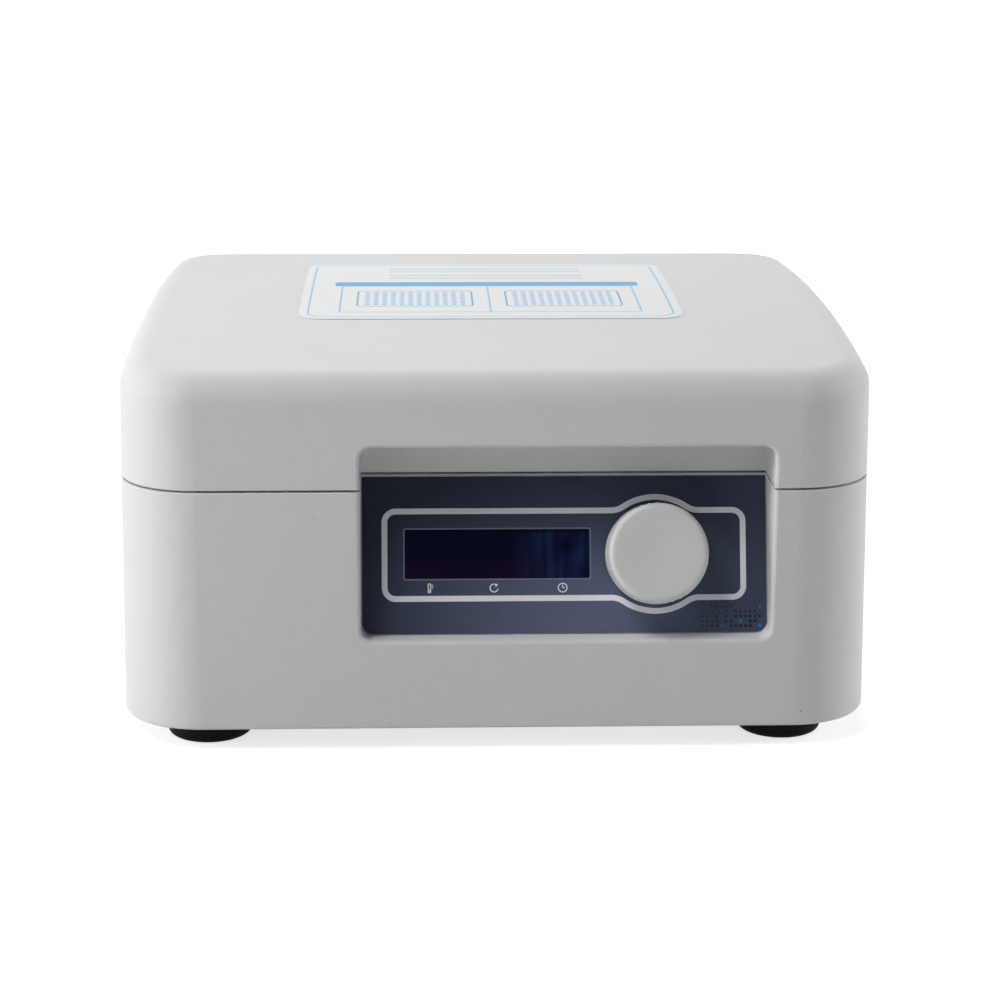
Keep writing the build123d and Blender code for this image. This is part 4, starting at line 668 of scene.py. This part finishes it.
def makeRibRing():
    # soft upright ribs standing in a ring
    tree, given, result = growTree("ribRing", [
        ("Count", "Int", 24), ("Ring Radius", "Float", 0.018),
        ("Rib Width", "Float", 0.001), ("Rib Length", "Float", 0.008),
    ])
    ring = put(tree, "GeometryNodeMeshCircle", None, Vertices=given["Count"], Radius=given["Ring Radius"])
    bead = put(tree, "GeometryNodeMeshUVSphere", None, Segments=8, Rings=6, Radius=1.0)
    half = product(tree, given["Rib Width"], 0.5)
    halfLength = product(tree, given["Rib Length"], 0.5)
    sizes = put(tree, "ShaderNodeCombineXYZ", None, X=half, Y=half, Z=halfLength).outputs[0]
    ribs = put(
        tree, "GeometryNodeInstanceOnPoints", None,
        Points=ring.outputs["Mesh"], Instance=bead.outputs["Mesh"], Scale=sizes,
    )
    return closeTree(tree, given, result, ribs.outputs[0])


dotField = makeDotField()
ribRing = makeRibRing()
print("growing trees ready")

# the control panel leans back, so its pieces are drawn flat and then laid on it
panel = {
    "tilt": math.radians(18.1),
    "sheet": 0.5 * mm,
    "gap": 0.35 * mm,
    "knob": (57.9 * mm, 29.0 * mm),
}
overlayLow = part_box("panel_overlay")[0]
tiltSin, tiltCos = math.sin(panel["tilt"]), math.cos(panel["tilt"])
panelFoot = Vector((
    0.0,
    overlayLow[1] - panel["gap"] * tiltSin + panel["sheet"] * tiltCos,
    overlayLow[2] - panel["gap"] * tiltCos,
))
panelPlace = Matrix.Translation(panelFoot) @ Matrix((
    (1.0, 0.0, 0.0, 0.0),
    (0.0, tiltSin, -tiltCos, 0.0),
    (0.0, tiltCos, tiltSin, 0.0),
    (0.0, 0.0, 0.0, 1.0),
))

border = {
    "left": -40.8 * mm, "right": 90.1 * mm, "low": 13.1 * mm, "high": 44.95 * mm,
    "corner": 4.0 * mm, "bulge": 20.8 * mm, "fillet": 8.0 * mm, "width": 2.1 * mm, "rise": 0.05 * mm,
    "cornerSteps": 8, "bulgeSteps": 40,
}


def arc(centre, radius, start, end, steps):
    return [
        (
            centre[0] + radius * math.cos(start + (end - start) * i / steps),
            centre[1] + radius * math.sin(start + (end - start) * i / steps),
        )
        for i in range(steps + 1)
    ]


def borderPath():
    # rounded frame that swells into a circle round the knob, anticlockwise from the lower left
    knobX, knobY = panel["knob"]
    corner, bulge, fillet = border["corner"], border["bulge"], border["fillet"]
    few, many = border["cornerSteps"], border["bulgeSteps"]
    left, right, low, high = border["left"], border["right"], border["low"], border["high"]
    path = arc((left + corner, low + corner), corner, math.pi, 1.5 * math.pi, few)
    for line, sign in ((low, -1), (high, 1)):
        rise = abs(line - knobY)
        reach = math.sqrt((bulge + fillet) ** 2 - (rise + fillet) ** 2)
        lean = math.atan2(rise + fillet, reach)
        near = (knobX + sign * reach, line + sign * fillet)
        far = (knobX - sign * reach, line + sign * fillet)
        if sign < 0:
            path += arc(near, fillet, 0.5 * math.pi, lean, few)
            path += arc((knobX, knobY), bulge, math.pi + lean, 2 * math.pi - lean, many)
            path += arc(far, fillet, math.pi - lean, 0.5 * math.pi, few)
            path += arc((right - corner, low + corner), corner, 1.5 * math.pi, 2 * math.pi, few)
            path += arc((right - corner, high - corner), corner, 0.0, 0.5 * math.pi, few)
        else:
            path += arc(near, fillet, 1.5 * math.pi, math.pi + lean, few)
            path += arc((knobX, knobY), bulge, lean, math.pi - lean, many)
            path += arc(far, fillet, 2 * math.pi - lean, 1.5 * math.pi, few)
            path += arc((left + corner, high - corner), corner, 0.5 * math.pi, math.pi, few)
    return path


printSmooth = 40.0  # degrees; sharper edges stay sharp
roundSmooth = 60.0


def strokeMesh(name, path, width, low, high, place, closed=True):
    # a printed line: a flat band of even width along a loop or an open path
    count = len(path)
    points, faces = [], []
    for i, (x, y) in enumerate(path):
        before = Vector(path[i - 1] if closed else path[max(0, i - 1)])
        after = Vector(path[(i + 1) % count] if closed else path[min(count - 1, i + 1)])
        along = (after - before).normalized()
        side = Vector((-along.y, along.x)) * width / 2
        for shift, level in ((side, low), (side, high), (-side, high), (-side, low)):
            points.append((x + shift.x, y + shift.y, level))
    for i in range(count if closed else count - 1):
        j = (i + 1) % count
        for k in range(4):
            m = (k + 1) % 4
            faces.append((4 * i + k, 4 * i + m, 4 * j + m, 4 * j + k))
    if not closed:
        last = 4 * (count - 1)
        faces += [(0, 1, 2, 3), (last, last + 3, last + 2, last + 1)]
    return meshFrom(name, points, faces, place, smooth=printSmooth)


def patchMesh(name, outline, low, high, place):
    # a printed solid shape
    count = len(outline)
    points = [(x, y, level) for level in (low, high) for x, y in outline]
    faces = [tuple(range(count)), tuple(range(count, 2 * count))]
    faces += [(i, (i + 1) % count, count + (i + 1) % count, count + i) for i in range(count)]
    return meshFrom(name, points, faces, place, smooth=printSmooth)


def roundedLoop(centre, halfWide, halfHigh, corner, steps=6):
    path = []
    for turn, (signX, signY) in enumerate(((1, 1), (-1, 1), (-1, -1), (1, -1))):
        middle = (centre[0] + signX * (halfWide - corner), centre[1] + signY * (halfHigh - corner))
        path += arc(middle, corner, turn * math.pi / 2, (turn + 1) * math.pi / 2, steps)
    return path


printLight = mouldedPlastic(
    "printLight", (0.9, 0.91, 0.96), roughness=0.4, grain=0.0003, bump=0.04, tint=0.06, mirror=0.2,
)
filmTop = panel["sheet"]
filmSink = 0.1 * mm  # printed pieces reach this far into the film
borderMesh = strokeMesh(
    "panelBorder", borderPath(), border["width"], filmTop - filmSink, filmTop + border["rise"], panelPlace,
)
newPiece("panelBorder", borderMesh, printLight, "base")

# rim of the display opening, symbols under it, dots in the lower right corner
display = {
    "centre": (0.25 * mm, 29.3 * mm), "half": (33.7 * mm, 8.95 * mm), "margin": 0.3 * mm,
    "corner": 0.6 * mm, "line": 0.55 * mm, "rise": 0.04 * mm,
}
printRim = mouldedPlastic(
    "printRim", (0.16, 0.185, 0.27), roughness=0.42, grain=0.0003, bump=0.04, tint=0.06, mirror=0.15,
)
rimHalf = [half + display["margin"] for half in display["half"]]
rimLoop = roundedLoop(display["centre"], *rimHalf, display["corner"])
rimMesh = strokeMesh(
    "displayRim", rimLoop, display["line"], filmTop - filmSink, filmTop + display["rise"], panelPlace,
)
newPiece("displayRim", rimMesh, printRim, "base")

symbols = {
    "level": 16.9 * mm, "size": 1.45 * mm, "line": 0.38 * mm, "rise": 0.03 * mm,
    "thermometer": -24.5 * mm, "turning": -1.0 * mm, "clock": 24.0 * mm,
}


def symbolMeshes():
    # a thermometer, a circular arrow and a clock face, in shares of the symbols' size
    level, size, line = symbols["level"], symbols["size"], symbols["line"]
    low, high = filmTop - filmSink, filmTop + symbols["rise"]

    def stroke(name, path, width=1.0, closed=True):
        return strokeMesh(name, path, width * line, low, high, panelPlace, closed)

    def openCircle(centre, radius, points):
        # the loop closes from the last point back to the first
        return arc(centre, radius, 0.0, 2 * math.pi * (points - 1) / points, points - 1)

    x = symbols["thermometer"]
    bulb = openCircle((x, level - 0.75 * size), 0.5 * size, 16)
    stem = roundedLoop((x, level + 0.2 * size), 0.3 * size, 0.95 * size, 0.28 * size)
    made = [patchMesh("bulb", bulb, low, high, panelPlace), stroke("stem", stem)]
    for i in range(3):
        height = level + (0.05 + 0.4 * i) * size
        tick = [(x + 0.55 * size, height), (x + 0.95 * size, height)]
        made.append(stroke("tick", tick, 0.7, closed=False))
    x = symbols["turning"]
    sweep = arc((x, level), size, 0.35 * math.pi, 1.95 * math.pi, 24)
    made.append(stroke("sweep", sweep, closed=False))
    tipX, tipY = x + size * math.cos(0.3 * math.pi), level + size * math.sin(0.3 * math.pi)
    corners = ((-0.65, 0.35), (-0.1, -0.6), (0.45, 0.15))
    head = [(tipX + across * size, tipY + up * size) for across, up in corners]
    made.append(patchMesh("head", head, low, high, panelPlace))
    x = symbols["clock"]
    made.append(stroke("dial", openCircle((x, level), 1.1 * size, 24)))
    for across, up in ((0.0, 0.75), (0.55, 0.0)):
        hand = [(x, level), (x + across * size, level + up * size)]
        made.append(stroke("hand", hand, 0.8, closed=False))
    return made


newPiece("panelSymbols", joined("panelSymbols", symbolMeshes()), printLight, "base")

dots = {
    "centre": (78.5 * mm, 9.6 * mm), "columns": 21, "rows": 9, "pitch": 1.75 * mm,
    "size": 1.5 * mm, "thick": 0.1 * mm, "rise": 0.015 * mm, "fade": 0.95,
}
dotInks = {  # ink, share of the dots kept, seed
    "panelDots": (mouldedPlastic("dotInkDark", (0.016, 0.018, 0.03), roughness=0.42, mirror=0.1), 0.72, 4),
    "panelDotsBlue": (mouldedPlastic("dotInkBlue", (0.02, 0.17, 0.42), roughness=0.42, mirror=0.1), 0.1, 11),
    "panelDotsTeal": (mouldedPlastic("dotInkTeal", (0.02, 0.27, 0.3), roughness=0.42, mirror=0.1), 0.07, 23),
}
for step, (name, (ink, keep, seed)) in enumerate(dotInks.items()):
    # each ink lies a little over the one before
    lift = filmTop + dots["rise"] * (0.5 + 0.3 * step) - dots["thick"] / 2
    place = panelPlace @ Matrix.Translation((*dots["centre"], lift))
    dotMesh = grow(
        name, dotField, ink, place, Columns=dots["columns"], Rows=dots["rows"], Pitch=dots["pitch"],
        Dot_Size=dots["size"], Thickness=dots["thick"] + dots["rise"],
        Fade=dots["fade"], Keep=keep, Seed=seed,
    )
    newPiece(name, dotMesh, ink, "base")

# the knob is turned, with soft ribs round its side
knob = {
    "radius": 18.0 * mm, "flare": 0.4 * mm, "low": 1.3 * mm, "top": 17.45 * mm, "round": 2.0 * mm,
    "dish": 0.5 * mm, "lip": 1.0 * mm, "wall": 2.6 * mm, "bead": 0.35 * mm, "belly": 0.02 * mm,
    "steps": 128, "dishSteps": 12, "roundSteps": 10, "roundEnd": 0.02,
}
poleRadius = 1e-8  # a ring this small closes into one point


def lathe(name, profile, steps, place, smooth=30.0):
    # profile of (radius, height) from the top middle down and round to the inside
    points, faces = [], []
    for radius, height in profile:
        for i in range(steps):
            turn = 2 * math.pi * i / steps
            points.append((radius * math.cos(turn), radius * math.sin(turn), height))
    for row in range(len(profile) - 1):
        for i in range(steps):
            j = (i + 1) % steps
            faces.append((row * steps + i, row * steps + j, (row + 1) * steps + j, (row + 1) * steps + i))
    return meshFrom(name, points, faces, place, smooth)


def knobProfile():
    rim = knob["radius"] - knob["round"]
    dishStart = rim - knob["lip"]
    profile = [(poleRadius, knob["top"] - knob["dish"])]
    for i in range(1, knob["dishSteps"] + 1):
        r = dishStart * i / knob["dishSteps"]
        hollow = knob["dish"] * 0.5 * (1 + math.cos(math.pi * min(1.0, r / dishStart)))
        profile.append((r, knob["top"] - hollow))
    edge = (rim, knob["top"] - knob["round"])
    profile += arc(edge, knob["round"], 0.5 * math.pi, knob["roundEnd"], knob["roundSteps"])
    outer, inner = knob["radius"] + knob["flare"], knob["radius"] - knob["wall"]
    low, bead, ceiling = knob["low"], knob["bead"], knob["top"] - knob["wall"]
    profile += [(outer - knob["belly"], low + 2 * bead), (outer, low + bead), (outer - bead, low)]
    profile += [(inner + bead, low), (inner, low + bead), (inner, ceiling), (poleRadius, ceiling)]
    return profile


knobPlace = panelPlace @ Matrix.Translation((*panel["knob"], 0.0))
knobMesh = lathe("controlKnob", knobProfile(), knob["steps"], knobPlace)
newPiece("controlKnob", knobMesh, finishes["knob_plastic"], "control_knob", ["control_knob"])
grip = {
    "count": 40, "width": 1.3 * mm, "length": 11.0 * mm, "level": 8.2 * mm,
    "sink": 0.38 * mm, "inset": 0.2 * mm,
}
gripPlace = knobPlace @ Matrix.Translation((0.0, 0.0, grip["level"]))
gripMesh = grow(
    "knobGrip", ribRing, finishes["knob_plastic"], gripPlace, roundSmooth, Count=grip["count"],
    Ring_Radius=knob["radius"] + knob["flare"] - grip["sink"] - grip["inset"],
    Rib_Width=grip["width"], Rib_Length=grip["length"],
)
newPiece("knobGrip", gripMesh, finishes["knob_plastic"], "control_knob")
print("control panel ready")

# springs behind the plate clamps, which press together as a clamp slides; here they stand at full length
spring = {
    "turns": 6.0, "coil": 2.15 * mm, "wire": 0.35 * mm, "length": 9.4 * mm,
    "spacing": 24.0 * mm, "travel": 3.5 * mm,
}


def makeCoilSpring():
    # two round-wire coils side by side, standing on the XY plane
    tree, given, result = growTree("coilSpring", [
        ("Turns", "Float", 5.0), ("Coil Radius", "Float", 0.002), ("Wire Radius", "Float", 0.0004),
        ("Length", "Float", 0.01), ("Spacing", "Float", 0.02),
    ])
    coil = put(
        tree, "GeometryNodeCurveSpiral", None,
        Resolution=20, Rotations=given["Turns"], Height=given["Length"],
        Start_Radius=given["Coil Radius"], End_Radius=given["Coil Radius"],
    )
    wire = put(tree, "GeometryNodeCurvePrimitiveCircle", None, Resolution=8, Radius=given["Wire Radius"])
    swept = put(
        tree, "GeometryNodeCurveToMesh", None, Curve=coil.outputs[0], Profile_Curve=wire.outputs[0],
        Fill_Caps=True,
    )
    half = product(tree, given["Spacing"], 0.5)
    left = put(tree, "ShaderNodeCombineXYZ", None, X=product(tree, half, -1.0)).outputs[0]
    right = put(tree, "ShaderNodeCombineXYZ", None, X=half).outputs[0]
    feet = put(
        tree, "GeometryNodeMeshLine", {"mode": "END_POINTS"}, Count=2, Start_Location=left, Offset=right,
    )
    pair = put(tree, "GeometryNodeInstanceOnPoints", None, Points=feet.outputs[0], Instance=swept.outputs[0])
    return closeTree(tree, given, result, pair.outputs[0])


coilSpring = makeCoilSpring()
steel = finishes["screw_steel"]
for side in ("left", "right"):
    node, name = "clamp_springs_" + side, "clampSprings" + side.capitalize()
    low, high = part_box(node)
    seat = Vector(((low[0] + high[0]) / 2, low[1] + spring["wire"], (low[2] + high[2]) / 2))
    place = Matrix.Translation(seat) @ Matrix.Rotation(-math.pi / 2, 4, "X")
    springMesh = grow(
        name, coilSpring, steel, place, roundSmooth,
        Turns=spring["turns"], Coil_Radius=spring["coil"], Wire_Radius=spring["wire"],
        Length=spring["length"], Spacing=spring["spacing"],
    )
    piece = newPiece(name, springMesh, steel, "platform", [node])
    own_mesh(piece)
print("clamp springs ready")

# on and off marks of the power rocker
marks = {"line": 0.55 * mm, "size": 1.9 * mm, "shift": 4.6 * mm, "rise": 0.05 * mm, "sink": 0.02 * mm}


def drapedOn(node, mesh, rise):
    # moves a flat mesh drawn in XZ along Y until it lies on the node's rear face
    carrier = nodes[node].data
    tree = BVHTree.FromPolygons(
        [v.co for v in carrier.vertices], [tuple(p.vertices) for p in carrier.polygons],
    )
    for vertex in mesh.vertices:
        start = Vector((vertex.co.x, 1.0, vertex.co.z))
        hit = tree.ray_cast(start, Vector((0.0, -1.0, 0.0)))[0]
        vertex.co.y = hit.y + rise + vertex.co.y
    return mesh


rockerLow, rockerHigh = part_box("power_rocker")
rockerX, rockerZ = (rockerLow[0] + rockerHigh[0]) / 2, (rockerLow[2] + rockerHigh[2]) / 2
upright = Matrix(((1.0, 0.0, 0.0, 0.0), (0.0, 0.0, -1.0, 0.0), (0.0, 1.0, 0.0, 0.0), (0.0, 0.0, 0.0, 1.0)))
markRing = arc((rockerX, rockerZ - marks["shift"]), marks["size"] / 1.3, 0.0, 2 * math.pi * 23 / 24, 23)
markBar = [(rockerX, rockerZ + marks["shift"] - marks["size"] * (1 - i / 3)) for i in range(7)]
markMeshes = [
    strokeMesh("ring", markRing, marks["line"], -marks["rise"], marks["rise"], upright),
    strokeMesh("bar", markBar, marks["line"], -marks["rise"], marks["rise"], upright, closed=False),
]
printWhite = mouldedPlastic("printWhite", (0.75, 0.75, 0.74), roughness=0.4, grain=0.0003, bump=0.04)
markMesh = drapedOn("power_rocker", joined("rockerMarks", markMeshes), -marks["sink"])
newPiece("rockerMarks", markMesh, printWhite, "power_rocker")
print("rear panel ready")

# floor, lights and camera
floorLook = {
    "half": 6.0, "colour": (0.77, 0.77, 0.77), "roughness": 0.9,
    "glow": 0.72, "farGlow": 1.0, "near": 0.2, "far": 1.0,
}
skyLook = {"seen": 1.0, "ambient": 0.03}


def seenRays(tree):
    # one for what is seen directly, in a mirror or through glass, none for light on the part
    rays = put(tree, "ShaderNodeLightPath").outputs
    indirect = calc(tree, "MAXIMUM", rays["Is Glossy Ray"], rays["Is Transmission Ray"])
    return calc(tree, "MAXIMUM", rays["Is Camera Ray"], indirect)


def stageMaterial():
    # white where it is seen, a soft shadow under the part, and clear from below
    material, tree, skin = newMaterial("paleFloor", 0.0)
    skin.inputs["Base Color"].default_value = (*floorLook["colour"], 1.0)
    skin.inputs["Roughness"].default_value = floorLook["roughness"]
    away = put(tree, "ShaderNodeVectorMath", {"operation": "LENGTH"}, i0=objectCoords(tree)).outputs["Value"]
    level = spread(tree, away, floorLook["near"], floorLook["far"], floorLook["glow"], floorLook["farGlow"])
    glow = put(tree, "ShaderNodeEmission", None, Strength=product(tree, seenRays(tree), level))
    both = put(tree, "ShaderNodeAddShader", None, i0=skin.outputs[0], i1=glow.outputs[0])
    clear = put(tree, "ShaderNodeBsdfTransparent")
    under = put(tree, "ShaderNodeNewGeometry").outputs["Backfacing"]
    mixed = put(tree, "ShaderNodeMixShader", None, i0=under, i1=both.outputs[0], i2=clear.outputs[0])
    tree.links.new(mixed.outputs[0], tree.nodes["Material Output"].inputs["Surface"])
    return material


half = floorLook["half"]
floorMesh = meshFrom(
    "floor", [(-half, -half, 0), (half, -half, 0), (half, half, 0), (-half, half, 0)], [(0, 1, 2, 3)],
)
floor = bpy.data.objects.new("floor", floorMesh)
floorMesh.materials.append(stageMaterial())
bpy.context.scene.collection.objects.link(floor)

world = bpy.data.worlds.new("studio")
bpy.context.scene.world = world
world.use_nodes = True
sky = world.node_tree
plain = sky.nodes["Background"]
plain.inputs["Color"].default_value = (1.0, 1.0, 1.0, 1.0)
skyLevel = spread(sky, seenRays(sky), 0.0, 1.0, skyLook["ambient"], skyLook["seen"])
sky.links.new(skyLevel, plain.inputs["Strength"])

lampTarget = (0.0, 0.0, 0.06)
lamps = {
    "back": {"at": (-0.15, 1.0, 1.3), "size": 1.0, "power": 8.6},
    "left": {"at": (-1.5, -0.35, 0.5), "size": 0.8, "power": 12.6},
    "right": {"at": (1.5, 0.1, 0.5), "size": 0.8, "power": 11.8},
    "front": {"at": (-0.7, -0.7, 1.5), "size": 0.7, "power": 12.4},
}
for name, lamp in lamps.items():
    light = bpy.data.lights.new(name, "AREA")
    light.shape = "DISK"
    light.size = lamp["size"]
    light.energy = lamp["power"]
    holder = bpy.data.objects.new(name, light)
    holder.location = lamp["at"]
    aim = Vector(lampTarget) - Vector(lamp["at"])
    holder.rotation_euler = aim.to_track_quat("-Z", "Y").to_euler()
    bpy.context.scene.collection.objects.link(holder)

shot = {
    "at": (-29.710 * mm, -986.113 * mm, 332.286 * mm),
    "pitch": 0.270259, "yaw": 0.0353323, "roll": 0.0043732, "lens": 2.50351, "film": 36.0,
}
camera = bpy.data.cameras.new("camera")
camera.sensor_fit = "HORIZONTAL"
camera.sensor_width = shot["film"]
camera.lens = shot["lens"] * camera.sensor_width
camera.clip_start = 0.05
camera.clip_end = 50.0
cameraHolder = bpy.data.objects.new("camera", camera)
cameraHolder.rotation_euler = (
    Matrix.Rotation(-shot["yaw"], 3, "Z")
    @ Matrix.Rotation(math.pi / 2 - shot["pitch"], 3, "X")
    @ Matrix.Rotation(shot["roll"], 3, "Z")
).to_euler()
cameraHolder.location = shot["at"]
bpy.context.scene.collection.objects.link(cameraHolder)
bpy.context.scene.camera = cameraHolder
bpy.context.scene.view_settings.view_transform = "Standard"
print("stage ready")

bpy.context.view_layer.update()
